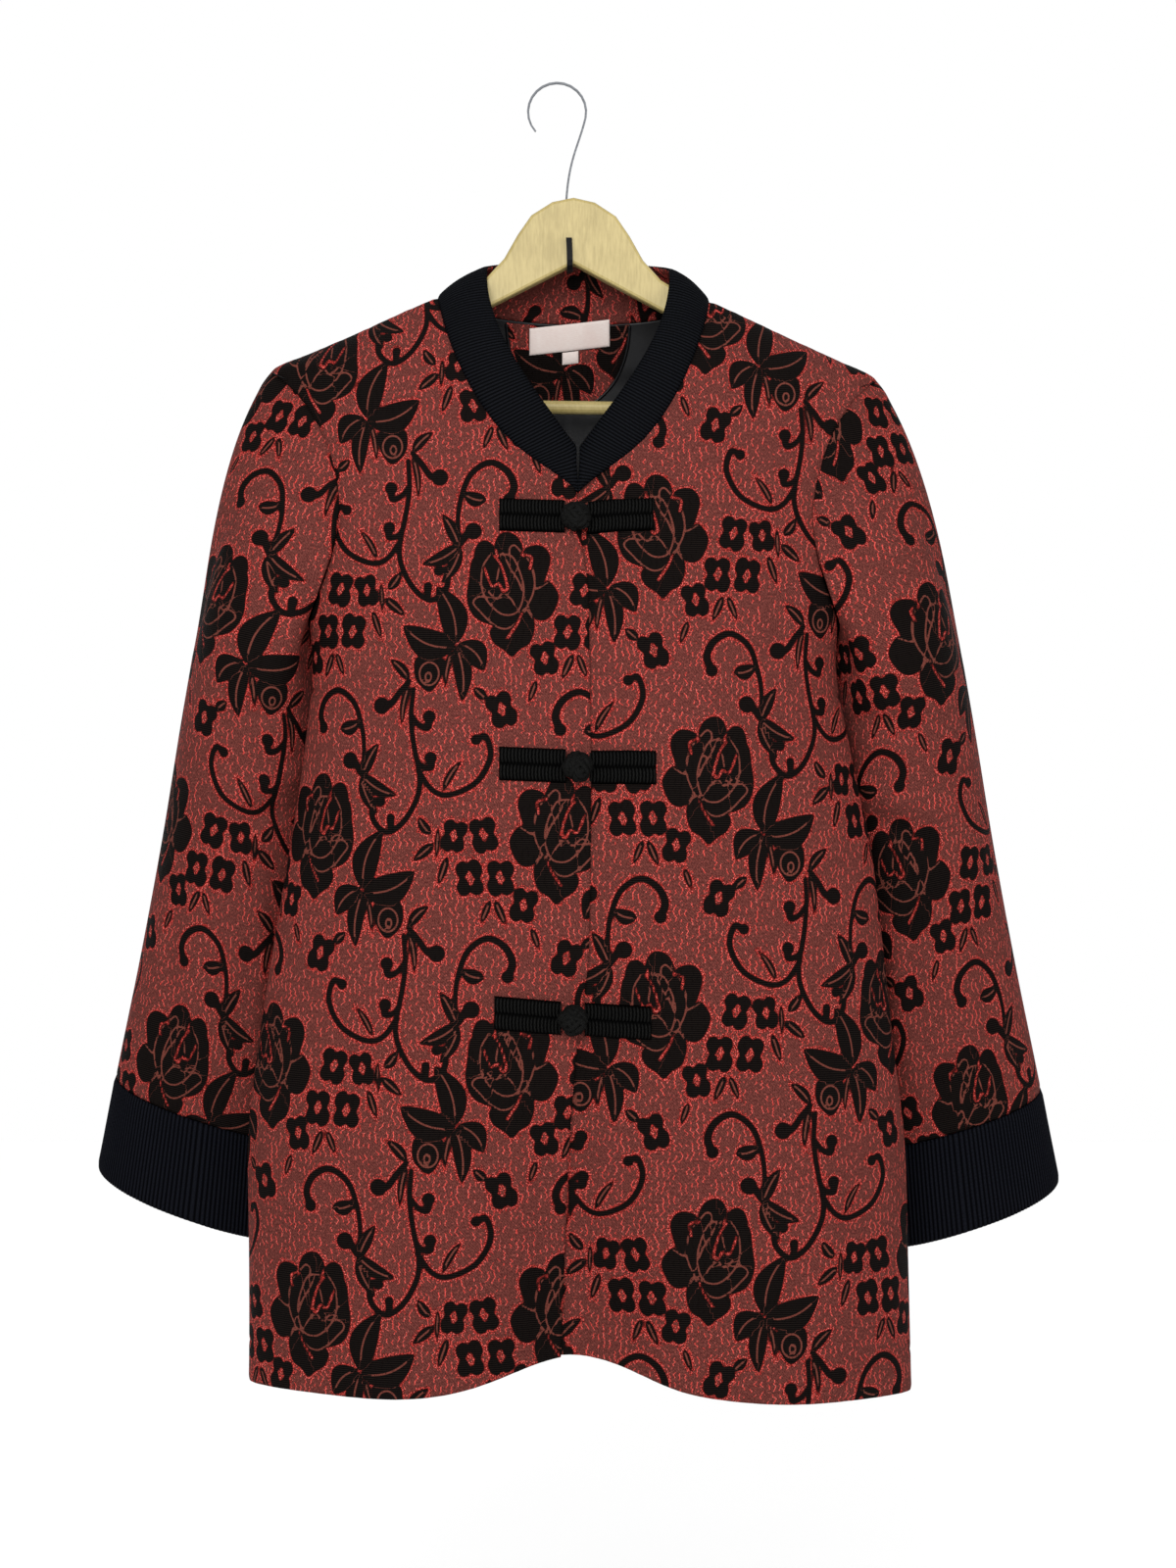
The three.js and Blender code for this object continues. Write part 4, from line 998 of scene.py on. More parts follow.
def wood():
    n = Nodes("hanger_wood")
    place = n.object_place()
    grain = n.noise(n.scale(place, 60, 60, 9), 12.0, 3.0)
    bands = n.noise(n.scale(place, 1.6, 4, 1.0), 22.0, 4.0)
    tone = n.plus(n.times(grain, 0.45), n.times(bands, 0.55))
    n.set(Base_Color=n.mix(n.fade(tone, 0.32, 0.68), seen(175, 156, 95), seen(205, 185, 121)), Roughness=0.45,
          Specular_IOR_Level=0.3)
    n.bump(grain, 0.0001, 0.4)
    return n.material


def metal():
    n = Nodes("hook_wire")
    # painted reflection: the hook is chrome wire, but its colour is a diffuse grey with Metallic off,
    # standing in for its reflections; a fine noise mottles it between a darker and a lighter grey and varies
    # its roughness
    mottle = n.noise(n.scale(n.object_place(), 300, 300, 1200), 1.0, 2.0)
    n.set(Base_Color=n.mix(mottle, seen(84, 87, 92), seen(168, 171, 176)), Metallic=0.0,
          Roughness=n.plus(0.3, n.times(mottle, 0.16)), Specular_IOR_Level=0.06)
    n.bump(mottle, 0.00005, 0.3)
    return n.material


def plastic():
    n = Nodes("clip_black")
    fine = n.noise(n.object_place(), 900, 2.0)
    n.set(Base_Color=n.mix(fine, seen(3, 3, 4), seen(14, 14, 16)), Roughness=0.4, Specular_IOR_Level=0.1)
    n.bump(fine, 0.00004, 0.3)
    return n.material


BROCADE = brocade()
# the high colour of each ribbed material is the painted highlight on its rib crests, the low one the painted
# shade in its grooves
RIB = ribbed("ribbed_trim", seen(0, 0, 1), seen(27, 29, 34))
CUFF_RIB = ribbed("cuff_trim", seen(0, 0, 3), seen(26, 28, 36))
CORD = ribbed("frog_cord", seen(0, 0, 0), seen(30, 30, 29))
LINING = satin("lining", seen(4, 4, 5), seen(30, 30, 33), 0.34, 0.16)
LABEL_CLOTH = satin("label", seen(240, 216, 208), seen(255, 244, 237), 0.55, 0.2)
WOOD = wood()
WIRE = metal()
PLASTIC = plastic()

# ---- soft form: creases and seams ----


def along_grid(points):
    """Distances along a grid's lines from its first column, last column, first row and last row."""
    first = lengths(points, 1)
    low = lengths(points, 0)
    return first, first[:, -1:] - first, low, low[-1:] - low


def creases(u, v, table):
    """Soft troughs (depth under zero) and ridges along bent lines in cloth places."""
    total = np.zeros(u.shape)
    for x0, y0, x1, y1, bend, width, depth in table:
        along, side, _ = bowed_line(u, v, x0, y0, x1, y1, bend)
        t = clamp01(along)
        total += depth * bell(side, width * (0.6 + 0.6 * t)) * np.sin(math.pi * t) ** 0.8
    return total


def seam_dip(distance, along, seed, depth=0.9, width=2.6):
    """The cloth turns in at a seam, with small uneven puckers beside it."""
    pucker = 0.22 * ripple(along, seed, wave=17) * bell(distance, 7)
    return pucker - depth * bell(distance, width)


HEM_STITCH = 26                    # height of the hem's line of stitches


def hem_dip(low, along, seed):
    """The turned hem: its rolled edge and the line where it is sewn up."""
    return seam_dip(low, along, seed, depth=0.6, width=1.6) - 0.5 * bell(low - HEM_STITCH, 1.6)


FRONT_CREASES = {
    RIGHT: [  # u and v of both ends, bend, width, depth
        (-205, -405, -160, -402, 0.05, 2.2, -1.5), (-150, -330, -95, -420, 0.08, 9, -1.6),
        (-60, -320, -120, -470, -0.06, 14, 1.3), (-190, -470, -110, -560, 0.07, 11, -1.3),
        (-90, -560, -70, -830, 0.03, 16, -1.8), (-165, -600, -185, -850, -0.03, 15, 1.6),
        (-35, -640, -30, -825, 0.02, 9, 1.2), (-130, -200, -100, -290, 0.05, 8, -1.0),
        (-215, -640, -225, -850, 0.03, 9, -1.8), (-20, -330, -34, -445, 0.05, 9, -0.9),
    ],
    LEFT: [
        (205, -412, 168, -402, 0.05, 2.2, -1.5), (145, -325, 92, -415, -0.08, 9, -1.6),
        (70, -330, 116, -480, 0.06, 13, 1.2), (196, -480, 120, -570, -0.07, 11, -1.4),
        (95, -590, 78, -850, -0.03, 14, -1.9), (160, -620, 176, -850, 0.03, 15, 1.6),
        (40, -660, 44, -835, -0.02, 10, 1.4), (128, -205, 98, -290, -0.05, 8, -1.0),
        (214, -650, 222, -850, -0.03, 9, -1.7), (30, -470, 40, -600, 0.05, 10, -0.9),
    ],
}
BACK_CREASES = [
    (-60, -240, -110, -420, 0.06, 16, -1.8), (70, -230, 112, -430, -0.05, 15, -1.7),
    (-15, -210, 18, -360, 0.05, 18, 1.2), (-140, -400, -60, -470, -0.08, 11, -1.6),
    (150, -395, 70, -480, 0.07, 11, -1.5), (-150, -560, -160, -845, 0.03, 13, 1.8),
    (10, -520, 22, -845, -0.02, 13, 1.4), (96, -560, 88, -845, 0.03, 11, -1.8),
    (-58, -600, -52, -845, 0.02, 12, -1.6), (170, -620, 180, -845, -0.03, 12, 1.6),
]
TIP_REACH = 9                      # so near to the shoulder's tip the normals of all pieces agree


def calm(points, normals, side):
    """The normals, turned to one shared direction near the shoulder's tip."""
    tip = armhole_loop(side, np.zeros(1))[0]
    near = bell(np.linalg.norm(points - tip, axis=-1, keepdims=True), TIP_REACH)
    return unit(mix(normals, unit(np.array([side * 0.55, 0, 0.84])), near))


def cloth_shell(name, points, normals, shift, fields, around=False):
    """A shell of lined brocade, its outer side shifted from the given points."""
    outer = points + normals * shift[..., None]
    return shell(name, outer, outer - normals * CLOTH, [BROCADE, LINING], fields, around)


def dress_front(points, u, side, rose_at, underlay=0):
    """Gives a front its creases, seams and pattern, and makes its shell."""
    v = points[..., 2]
    first, last, low, top = along_grid(points)
    shift = creases(u, v, FRONT_CREASES[side]) + seam_dip(last, low, seed=3)
    shift = shift + seam_dip(first, low, seed=4, depth=0.5, width=1.6)
    shift = shift + seam_dip(top, first, seed=5) + hem_dip(low, first, seed=6) + underlay
    normals = calm(points, grid_normals(points, side), side)
    return cloth_shell(f"{SIDE_WORD[side]}_front_cloth", points, normals, shift, cloth_fields(u, v, *rose_at))


FRONT_ROWS = (272, 148, 76)        # steps up the side, the armhole and the shoulder
BACK_ROWS = (202, 104, 50)
RIGHT_COLS = 152
LEFT_COLS = 148
LAP_COLS = 8
BACK_COLS = 120                    # in each half


def right_front():
    points, u = panel(RIGHT, False, RIGHT_COLS, FRONT_ROWS, opening_x)
    return dress_front(points, u, RIGHT, (-46, -345))


def underlap(x, z):
    """How far the left front is sunk, where it runs in under the right one."""
    return -(CLOTH + LAP_GAP) * (1 - ease((x - opening_x(z) - 4) / LAP_BLEND))


def left_front():
    points, u = panel(LEFT, False, LEFT_COLS, FRONT_ROWS, centre_x)
    row = spaced_rows(*FRONT_ROWS)[:, None]
    z = panel_place(LEFT, np.zeros((len(row), 1)), row, False, centre_x)[1]
    x = (opening_x(z) - LAP) * (1 - np.arange(LAP_COLS)[None, :] / LAP_COLS)
    share = x / quarter_length(LEFT, z)
    lap = body_point(LEFT, share, np.broadcast_to(z, share.shape))
    points = np.concatenate([lap, points], axis=1)
    u = np.concatenate([x, u], axis=1)
    return dress_front(points, u, LEFT, (50, -306), underlap(points[..., 0], points[..., 2]))


def whole_back(cols, rows):
    """Both halves of the back as one grid, and how far each point lies from the centre along the cloth."""
    halves = [panel(side, True, cols, rows, centre_x) for side in (RIGHT, LEFT)]
    return [np.concatenate([right[:, ::-1], left[:, 1:]], axis=1) for right, left in zip(*halves)]


def back():
    points, u = whole_back(BACK_COLS, BACK_ROWS)
    v = points[..., 2]
    first, last, low, top = along_grid(points)
    shift = creases(u, v, BACK_CREASES) + seam_dip(first, low, seed=11) + seam_dip(last, low, seed=12)
    shift = shift + seam_dip(top, first, seed=13) + hem_dip(low, first, seed=14)
    normals = calm(points, calm(points, grid_normals(points, -1), RIGHT), LEFT)
    return cloth_shell("back_cloth", points, normals, shift, cloth_fields(-u, v, 30, -300))


# ---- sleeves and cuffs ----

SLEEVE_LEAN = 0.214                # how far the sleeve runs outward as it falls
SLEEVE_CREASES = [  # round from the outer line towards the front, height along the sleeve, as for the panels
    (165, -448, 70, -480, 0.10, 8, -2.2), (160, -474, 60, -520, -0.08, 9, 1.6),
    (165, -508, 80, -546, 0.08, 8, -1.8), (70, -300, 50, -430, 0.05, 10, -1.6),
    (110, -330, 122, -440, -0.05, 9, 1.4),
    (58, -560, 66, -705, 0.04, 9, -1.6), (120, -560, 118, -705, -0.04, 10, 1.5),
    (-165, -450, -80, -490, 0.08, 9, -2.0), (-160, -500, -70, -545, -0.08, 9, 1.7),
    (-70, -580, -75, -705, 0.04, 10, -1.5), (-60, -300, -75, -430, 0.05, 11, -1.5),
]


def sleeve_point(side, turn, z):
    half = column(SLEEVE, "width", z) / 2
    tilt = np.radians(column(SLEEVE, "tilt", z))
    angle = turn * math.pi
    along = half * power(np.cos(angle), 0.9)
    x = column(SLEEVE, "out", z) - half * np.cos(tilt) + along * np.cos(tilt)
    y = column(SLEEVE, "y", z) - column(SLEEVE, "depth", z) / 2 * power(np.sin(angle), 0.9)
    drop = column(SLEEVE, "drop", z) * power(np.sin(angle), 0.9)
    return np.stack([side * x, y, z + along * np.sin(tilt) - drop], axis=-1)


def armhole_loop(side, turn):
    back = turn > 1
    cut, z = armhole(np.where(back, turn - 1, 1 - turn), np.where(back, ARMHOLE_BACK, ARMHOLE_FRONT))
    return body_point(side, np.where(back, 1 + cut, 1 - cut), z)


def cap_points(side, turn, t):
    start = armhole_loop(side, turn)
    top = SLEEVE["z"][0]
    to = sleeve_point(side, turn, np.full(turn.shape, top))
    reach = np.linalg.norm(to - start, axis=-1, keepdims=True)
    high = (np.cos(turn * math.pi) + 1) / 2
    out, fall = side * mix(0.4, 0.6, high), -mix(0.75, 0.8, high)
    outward = unit(np.stack([out, start[..., 1] * 0.003, fall], axis=-1))
    down = unit(sleeve_point(side, turn, np.full(turn.shape, top - 4)) - to)
    stretch = reach * 0.9
    start = start - outward * TUCK
    t = t[..., None]
    return (start * (2 * t**3 - 3 * t**2 + 1) + outward * (t**3 - 2 * t**2 + t) * stretch
            + to * (3 * t**2 - 2 * t**3) + down * (t**3 - t**2) * stretch)


def sleeve_grid(side, cols, cap_rows, rows):
    """Points of a sleeve, from the cuff seam up to the armhole, round from the outer side forwards."""
    turn = np.arange(cols) * 2 / cols
    t = np.linspace(0, 1, cap_rows + 1)[:-1]
    cap = cap_points(side, *np.broadcast_arrays(turn[None, :], t[:, None]))
    z = np.linspace(SLEEVE["z"][0], CUFF_TOP, rows + 1)
    tube = sleeve_point(side, *np.broadcast_arrays(turn[None, :], z[:, None]))
    return np.concatenate([cap, tube])[::-1]


SPREAD_ROUNDS = 220
SHORT_STEP = 0.05                  # steps of a tube's grid count as no shorter than this
STEEPEST = 20


def spread_out(across, down, across_steps, down_steps, guess):
    """The field on a grid whose steps to the right and down come closest to the ones asked for."""
    def gathered(right, below):
        total = np.zeros(guess.shape)
        total[:, :-1] -= right
        total[:, 1:] += right
        total[:-1] -= below
        total[1:] += below
        return total

    def pull(field):
        return gathered(across * np.diff(field, axis=1), down * np.diff(field, axis=0))

    field = guess.copy()
    left = gathered(across * across_steps, down * down_steps) - pull(field)
    way = left.copy()
    size = (left * left).sum()
    for _ in range(SPREAD_ROUNDS):
        pulled = pull(way)
        share = size / (way * pulled).sum()
        field += share * way
        left -= share * pulled
        new = (left * left).sum()
        way = left + way * (new / size)
        size = new
    return field


def tube_places(points, side):
    """Cloth places of a tube laid flat, cut open under the arm: round from its outer line and up along it."""
    half = points.shape[1] // 2
    axis = unit(np.array([-side * SLEEVE_LEAN, 0, 1.0]))
    flat = np.roll(points, half - 1, axis=1)
    normals = np.roll(grid_normals(points, -side, around=True), half - 1, axis=1)
    round_way = unit(np.cross(axis, normals))
    up_way = unit(np.cross(normals, round_way))
    right = np.diff(flat, axis=1)
    down = np.diff(flat, axis=0)
    long_right = np.linalg.norm(right, axis=-1)
    long_down = np.linalg.norm(down, axis=-1)
    across = (long_down.mean() / np.maximum(long_right, SHORT_STEP)).clip(1 / STEEPEST, STEEPEST)
    along = (long_right.mean() / np.maximum(long_down, SHORT_STEP)).clip(1 / STEEPEST, STEEPEST)
    places = []
    for way in (round_way, up_way):
        mid_right = (way[:, 1:] + way[:, :-1]) / 2
        mid_down = (way[1:] + way[:-1]) / 2
        steps_right = (right * mid_right).sum(axis=-1)
        steps_down = (down * mid_down).sum(axis=-1)
        guess = running(steps_right, 1)
        guess = guess - guess[:, half - 1: half] + running(steps_down[:, half - 1])[:, None]
        field = spread_out(across, along, steps_right, steps_down, guess)
        places.append(np.roll(field - field[0, half - 1], 1 - half, axis=1))
    u, v = places
    return u, v + points[0, 0] @ axis


SLEEVE_COLS = 208
CAP_ROWS = 76
ARM_ROWS = 164
SLEEVE_CREASE_DEPTH = 1.5          # the sleeve's creases are so much deeper than their table says
SLEEVE_ROSE = {RIGHT: (33, -237), LEFT: (-113, -255)}


def sleeve(side):
    points = sleeve_grid(side, SLEEVE_COLS, CAP_ROWS, ARM_ROWS)
    u, v = tube_places(points, side)
    low, top = along_grid(points)[2:]
    shift = SLEEVE_CREASE_DEPTH * creases(-side * u, v, SLEEVE_CREASES)
    shift += seam_dip(top, u, seed=21, depth=1.0, width=3.0)
    # the sleeve's head swells beside the armhole seam, and lies flatter at the shoulder's tip
    shift += 1.3 * bell(top - 9, 7) * (0.7 + 0.3 * ripple(u, seed=22, wave=26))
    col = np.arange(SLEEVE_COLS)
    shift *= 1 - 0.8 * bell(np.minimum(col, SLEEVE_COLS - col), 9) * bell(top, 12)
    shift += seam_dip(low, u, seed=23, depth=0.8, width=2.2)
    normals = calm(points, grid_normals(points, -side, around=True), side)
    fields = cloth_fields(u, v, *SLEEVE_ROSE[side])
    return cloth_shell(f"{SIDE_WORD[side]}_sleeve_cloth", points, normals, shift, fields, around=True)


CUFF_RIBS = 150
CUFF_LINES = 17                    # points along a rib
PER_RIB = 6                        # points across a rib of the band and the cuffs


def rib_wave(count):
    """The height of the ribs at so many points in a row, from 0 to 1."""
    return np.abs(np.sin(math.pi * np.arange(count) / PER_RIB)) ** 0.8


def cuff(side):
    """A ribbed cuff; the ribs run along the sleeve."""
    cols = CUFF_RIBS * PER_RIB
    turn = np.arange(cols) * 2 / cols
    z = np.linspace(CUFF_END, CUFF_TOP - SEAM, CUFF_LINES)
    points = sleeve_point(side, *np.broadcast_arrays(turn[None, :], z[:, None]))
    normals = grid_normals(points, -side, around=True)
    u, v = tube_places(points, side)
    wave = rib_wave(cols)[None, :]
    ends = np.minimum(z - z[0], z[-1] - z)[:, None]
    shift = 0.1 + 0.75 * wave - 0.7 * bell(ends, 1.6) + 0.25 * ripple(u + v * 0.4, seed=31, wave=90)
    outer = points + normals * shift[..., None]
    inner = points + normals * (0.4 - RIBBED)
    # the rib attribute sets the material's painted highlight on the rib crests and painted shade in the
    # grooves
    fields = {"cloth": cloth_place(u, v), "rib": wave + np.zeros(u.shape)}
    return shell(f"{SIDE_WORD[side]}_cuff_rib", outer, inner, [CUFF_RIB, CUFF_RIB], fields, around=True)


# ---- neck band and the pieces inside the neck ----


BAND_ACROSS = 16                   # steps across the band, and round its front and back quarters
BAND_FRONT_COLS = 200
BAND_BACK_COLS = 120
BAND_STATIONS = 1601


def column_share(t, back):
    """Stations round a quarter of the neck, closer together where it bends."""
    return 1 - (1 - t) ** 1.5 if back else t - 0.6 * np.sin(2 * math.pi * t) / (2 * math.pi)


def band_free_edge(side, angle):
    front = angle < math.pi / 2
    lagged = np.where(front, angle - BAND_LAG * np.sin(2 * angle), angle)
    x = side * BAND_HALF * np.sin(lagged)
    backward = np.maximum(-np.cos(angle), 0)
    y = np.where(front, BAND_FRONT_Y * np.abs(np.cos(lagged)) ** 0.7, BAND_BACK_Y * backward**1.2)
    rising = mix(BAND_FRONT, BAND_SIDE, lagged / (math.pi / 2))
    return np.stack([x, y, np.where(front, rising, mix(BAND_SIDE, BAND_BACK, backward))], axis=-1)


def band_half(side):
    """The band's points from the centre front round to the centre back: one row a station."""
    lines = []
    for is_back, cols in ((False, BAND_FRONT_COLS), (True, BAND_BACK_COLS)):
        turn = column_share(np.linspace(0, 1, cols + 1), is_back)
        angle = math.pi - turn * math.pi / 2 if is_back else turn * math.pi / 2
        x, z = neckline(side, turn, is_back)
        reach = np.where(turn >= 1, 1, share_at(side, x, z, is_back))
        s = 2 - reach if is_back else reach
        sewn = body_point(side, s, z)
        out = body_normal(side, s, z)
        free = band_free_edge(side, angle)
        seam = sewn - unit(free - sewn) * TUCK
        t = np.linspace(0, 1, BAND_ACROSS + 1)[None, :, None]
        line = mix(seam[:, None], free[:, None], t) + out[:, None] * 2.2 * np.sin(math.pi * t)
        lines.append(line[::-1][1:] if is_back else line)
    return np.concatenate(lines)


def even_rows(lines, count):
    """The same band with its stations evenly spaced along its middle."""
    mid = lines[:, lines.shape[1] // 2]
    reach = lengths(mid)
    want = np.linspace(0, reach[-1], count)
    flat = lines.reshape(len(lines), -1)
    even = np.stack([np.interp(want, reach, flat[:, k]) for k in range(flat.shape[1])], axis=-1)
    return even.reshape(count, *lines.shape[1:]), reach[-1]


RIB_SLANT = 42                     # how far forward a rib runs on its way across the band, at the front point
RIB_SLANT_FADE = 55
RIB_PITCH = 2.3


def slanted(lines, length):
    """The band again, each station leaning forward as the ribs do; near the point they end at the middle."""
    rows, cols = lines.shape[:2]
    place = np.linspace(0, length, rows)[:, None]
    front = np.minimum(place, length - place)
    lean = RIB_SLANT * np.exp(-front / RIB_SLANT_FADE) * (1 - 2 * front / length)
    across = np.linspace(0, 1, cols)[None, :] * np.minimum(1, (front + SEAM) / np.maximum(lean, SEAM))
    along = np.where(place < length / 2, place - lean * across, place + lean * across)
    row = np.clip(along / length, 0, 1) * (rows - 1)
    col = across * (cols - 1)
    i = np.clip(row.astype(int), 0, rows - 2)
    k = np.clip(col.astype(int), 0, cols - 2)
    down, right = (row - i)[..., None], (col - k)[..., None]
    above = mix(lines[i, k], lines[i, k + 1], right)
    below = mix(lines[i + 1, k], lines[i + 1, k + 1], right)
    return mix(above, below, down)


def neck_band():
    right, left = band_half(RIGHT), band_half(LEFT)
    right[0, :, 0] = -SEAM
    left[0, :, 0] = SEAM
    lines, length = even_rows(np.concatenate([right, left[::-1][1:]]), BAND_STATIONS)
    lines, length = even_rows(slanted(lines, length), BAND_STATIONS)
    stations = round(length / RIB_PITCH / 2) * 2 * PER_RIB + 1
    lines, length = even_rows(lines, stations)
    wave = rib_wave(stations)[:, None]
    first, last = along_grid(lines)[:2]
    u = np.broadcast_to(np.linspace(0, length, stations)[:, None], first.shape)
    roll = 1.2 * np.sin(math.pi * clamp01(first / (first + last))) ** 0.6
    shift = -0.6 + roll * 0.5 + 0.62 * wave - 0.9 * bell(np.minimum(first, last), 1.7)
    shift = shift + 0.3 * ripple(u + first, seed=41, wave=120)
    normals = grid_normals(lines, 1)
    # the rib attribute sets the material's painted highlight on the rib crests and painted shade in the
    # grooves
    fields = {"cloth": cloth_place(u, first), "rib": wave + np.zeros(u.shape)}
    outer = lines + normals * shift[..., None]
    return shell("neck_band_rib", outer, lines - normals * RIBBED, [RIB, RIB], fields)


COLLAR_START = BAND_FRONT_COLS + 4
COLLAR_STATIONS = 161


def collar_facing():
    """The patterned facing on the inner side of the band, at the back."""
    right, left = band_half(RIGHT)[COLLAR_START:], band_half(LEFT)[COLLAR_START:]
    lines, length = even_rows(np.concatenate([right, left[::-1][1:]]), COLLAR_STATIONS)
    normals = grid_normals(lines, 1)
    first, last, low, _ = along_grid(lines)
    u = np.linspace(-length / 2, length / 2, COLLAR_STATIONS)[:, None] + 0 * first
    lift = THIN - 0.8 * bell(np.minimum(first, last), 1.5) + 0.25 * ripple(low, seed=51, wave=50)
    outer = lines - normals * (RIBBED + lift)[..., None]
    inner = lines - normals * (RIBBED - TUCK)
    return shell("collar_facing_cloth", outer, inner, [BROCADE, LINING], cloth_fields(u, -first, -60, 77))


def on_body(x, z, back=False):
    """Points and outward directions of the body's front or back at (x, z)."""
    x, z = np.broadcast_arrays(np.asarray(x, float), np.asarray(z, float))
    points = np.zeros(x.shape + (3,))
    normals = np.zeros(x.shape + (3,))
    for side in (RIGHT, LEFT):
        pick = (x < 0) == (side == RIGHT)
        if pick.any():
            share = share_at(side, np.abs(x[pick]), z[pick], back)
            share = 2 - share if back else share
            points[pick] = body_point(side, share, z[pick])
            normals[pick] = body_normal(side, share, z[pick])
    return points, normals


def inside_back(x, z, depth):
    """Points at (x, z) on the back, moved in from its outer side by depth."""
    points, normals = on_body(x, z, back=True)
    return points - normals * np.asarray(depth)[..., None]


FACING_DEPTH = CLOTH + SEAM + THIN + 0.8
LABEL_DEPTH = FACING_DEPTH + THIN + 0.6
FACING_ROWS = 48
FACING_COLS = 72
PIPING_RADIUS = 1.0
CORD_SIDES = 8


def facing_edge(w, t):
    """x and z of the half oval: w runs across from -1 to 1, t down from the neck seam."""
    x = FACING_HALF * w * np.sqrt(1 - (0.97 * t) ** 2)
    top = neckline(LEFT, np.arcsin(np.abs(x) / NECK_HALF[LEFT]) * 2 / math.pi, True)[1] - 1
    return x + FACING_X, mix(top, BACK_NECK - FACING_DROP, t)


def neck_facing():
    t = np.linspace(0, 1, FACING_ROWS + 1)[:, None]
    w = np.linspace(-1, 1, FACING_COLS + 1)[None, :]
    x, z = facing_edge(w, t)
    rim = np.minimum(np.minimum(1 - np.abs(w), 1 - t) * FACING_HALF, 4)
    lift = THIN * (1 - 0.8 * bell(rim, 1.4)) + 0.3 * ripple(x + z, seed=61, wave=37)
    outer = inside_back(x, z, FACING_DEPTH + lift)
    inner = inside_back(x, z, FACING_DEPTH)
    return shell("neck_facing_cloth", outer, inner, [BROCADE, LINING], cloth_fields(x, z, 22, -150))


def tube_mesh(path, radius, closed=False):
    """A round cord along a path of points: its points, its faces and its cloth places."""
    sides = CORD_SIDES
    if closed:
        ext = np.concatenate([path[-1:], path, path[:1]])
        tangent = unit(ext[2:] - ext[:-2])
    else:
        tangent = unit(np.gradient(path, axis=0))
    guide = unit(np.cross(tangent, np.array([0.31, 0.2, 0.93])))
    other = np.cross(tangent, guide)
    angle = np.arange(sides) * 2 * math.pi / sides
    ring = guide[:, None] * np.cos(angle)[None, :, None] + other[:, None] * np.sin(angle)[None, :, None]
    points = path[:, None] + ring * radius
    rows = len(path)
    index = np.arange(rows * sides).reshape(rows, sides)
    index = np.concatenate([index, index[:, :1]], axis=1)
    if closed:
        index = np.concatenate([index, index[:1]])
    caps = [] if closed else [np.arange(sides)[None, ::-1], (np.arange(sides) + (rows - 1) * sides)[None]]
    cloth = cloth_place(lengths(path)[:, None], (angle * radius)[None, :])
    return points.reshape(-1, 3), [quads(index)] + caps, cloth.reshape(-1, 3)


def join_tubes(name, tubes, material):
    """One mesh of several cords."""
    faces, soft = [], []
    start = 0                      # number of the tube's first point in the mesh
    for points, own, _ in tubes:
        faces += [face + start for face in own]
        soft += [k == 0 for k in range(len(own))]
        start += len(points)
    fields = {"cloth": np.concatenate([tube[2] for tube in tubes]), "rib": np.ones(start)}
    points = placed(np.concatenate([tube[0] for tube in tubes]))
    return make_mesh(name, points, faces, soft, [0] * len(faces), [material], fields)


def facing_piping():
    """The thin dark piping round the half-oval facing."""
    down = np.linspace(0.02, 1, 60)
    right, left = (facing_edge(np.full(down.shape, w), down) for w in (-1.0, 1.0))
    bottom = facing_edge(np.linspace(-0.98, 0.98, 25), np.ones(25))
    x, z = (np.concatenate([a, b, c[::-1]]) for a, b, c in zip(right, bottom, left))
    path = inside_back(x, z, FACING_DEPTH + 0.5)
    return join_tubes("neck_facing_piping", [tube_mesh(path, PIPING_RADIUS)], LINING)


LINING_COLS = 60
LINING_ROWS = (0, 60, 40)
LINING_LOW = 20                    # rows and columns left off, where it can't be seen
LINING_SIDE = 12
LINING_SEAM = -7                   # x of its centre seam


def back_lining():
    """The plain lining where it shows, with its centre seam."""
    whole = whole_back(LINING_COLS, LINING_ROWS)
    points, u = (values[LINING_LOW:, LINING_SIDE:-LINING_SIDE] for values in whole)
    normals = grid_normals(points, -1)
    v = points[..., 2]
    slack = 0.5 * ripple(u + 0.3 * v, seed=71, wave=60) * ease((-v - 190) / 40)
    outer = points - normals * (CLOTH + SEAM + THIN - 0.7 * bell(u - LINING_SEAM, 1.2) + slack)[..., None]
    inner = points - normals * (CLOTH + SEAM)
    return shell("back_lining_cloth", outer, inner, [LINING], {"cloth": cloth_place(u, v)})


def tag(name, place, stitches):
    """A bare woven tag sewn on, with a turned edge and its stitches."""
    cols, rows = 48, 24
    across = np.linspace(-0.5, 0.5, cols + 1)[None, :]
    up = np.linspace(-0.5, 0.5, rows + 1)[:, None]
    drop = math.tan(math.radians(place["lean"]))
    x = place["x"] + across * place["width"]
    z = place["z"] + up * place["height"] + across * place["width"] * drop
    side = (0.5 - np.abs(across)) * place["width"]
    rim = np.minimum(side, (0.5 - np.abs(up)) * place["height"])
    thick = place["thick"] * (1 - 0.7 * bell(rim, 0.8))
    fold = 0.3 * bell(side - 3, 1.0) if stitches else 0
    belly = 0.7 * np.sin(math.pi * (up + 0.5)) * (0.6 + 0.4 * ripple(x, seed=81, wave=33))
    outer = inside_back(x, z, LABEL_DEPTH + thick + belly - fold)
    inner = inside_back(x, z, LABEL_DEPTH + belly * 0.8)
    return shell(name, outer, inner, [LABEL_CLOTH], {"cloth": cloth_place(x, z)})


# ---- frogs ----


def on_front(x, z, panel_side=RIGHT):
    """Points and outward directions at (x, z) on the fronts; panel_side says which front they lie on."""
    points, normals = on_body(x, z)
    if panel_side == LEFT:
        points = points + normals * underlap(points[..., 0], points[..., 2])[..., None]
    return points, normals


BAR_RIBS = 19
PER_BAR_RIB = 8                    # points across a bar's rib
BAR_ROWS = 32
BAR_TUCK = 2                       # how far a bar runs in under its knot


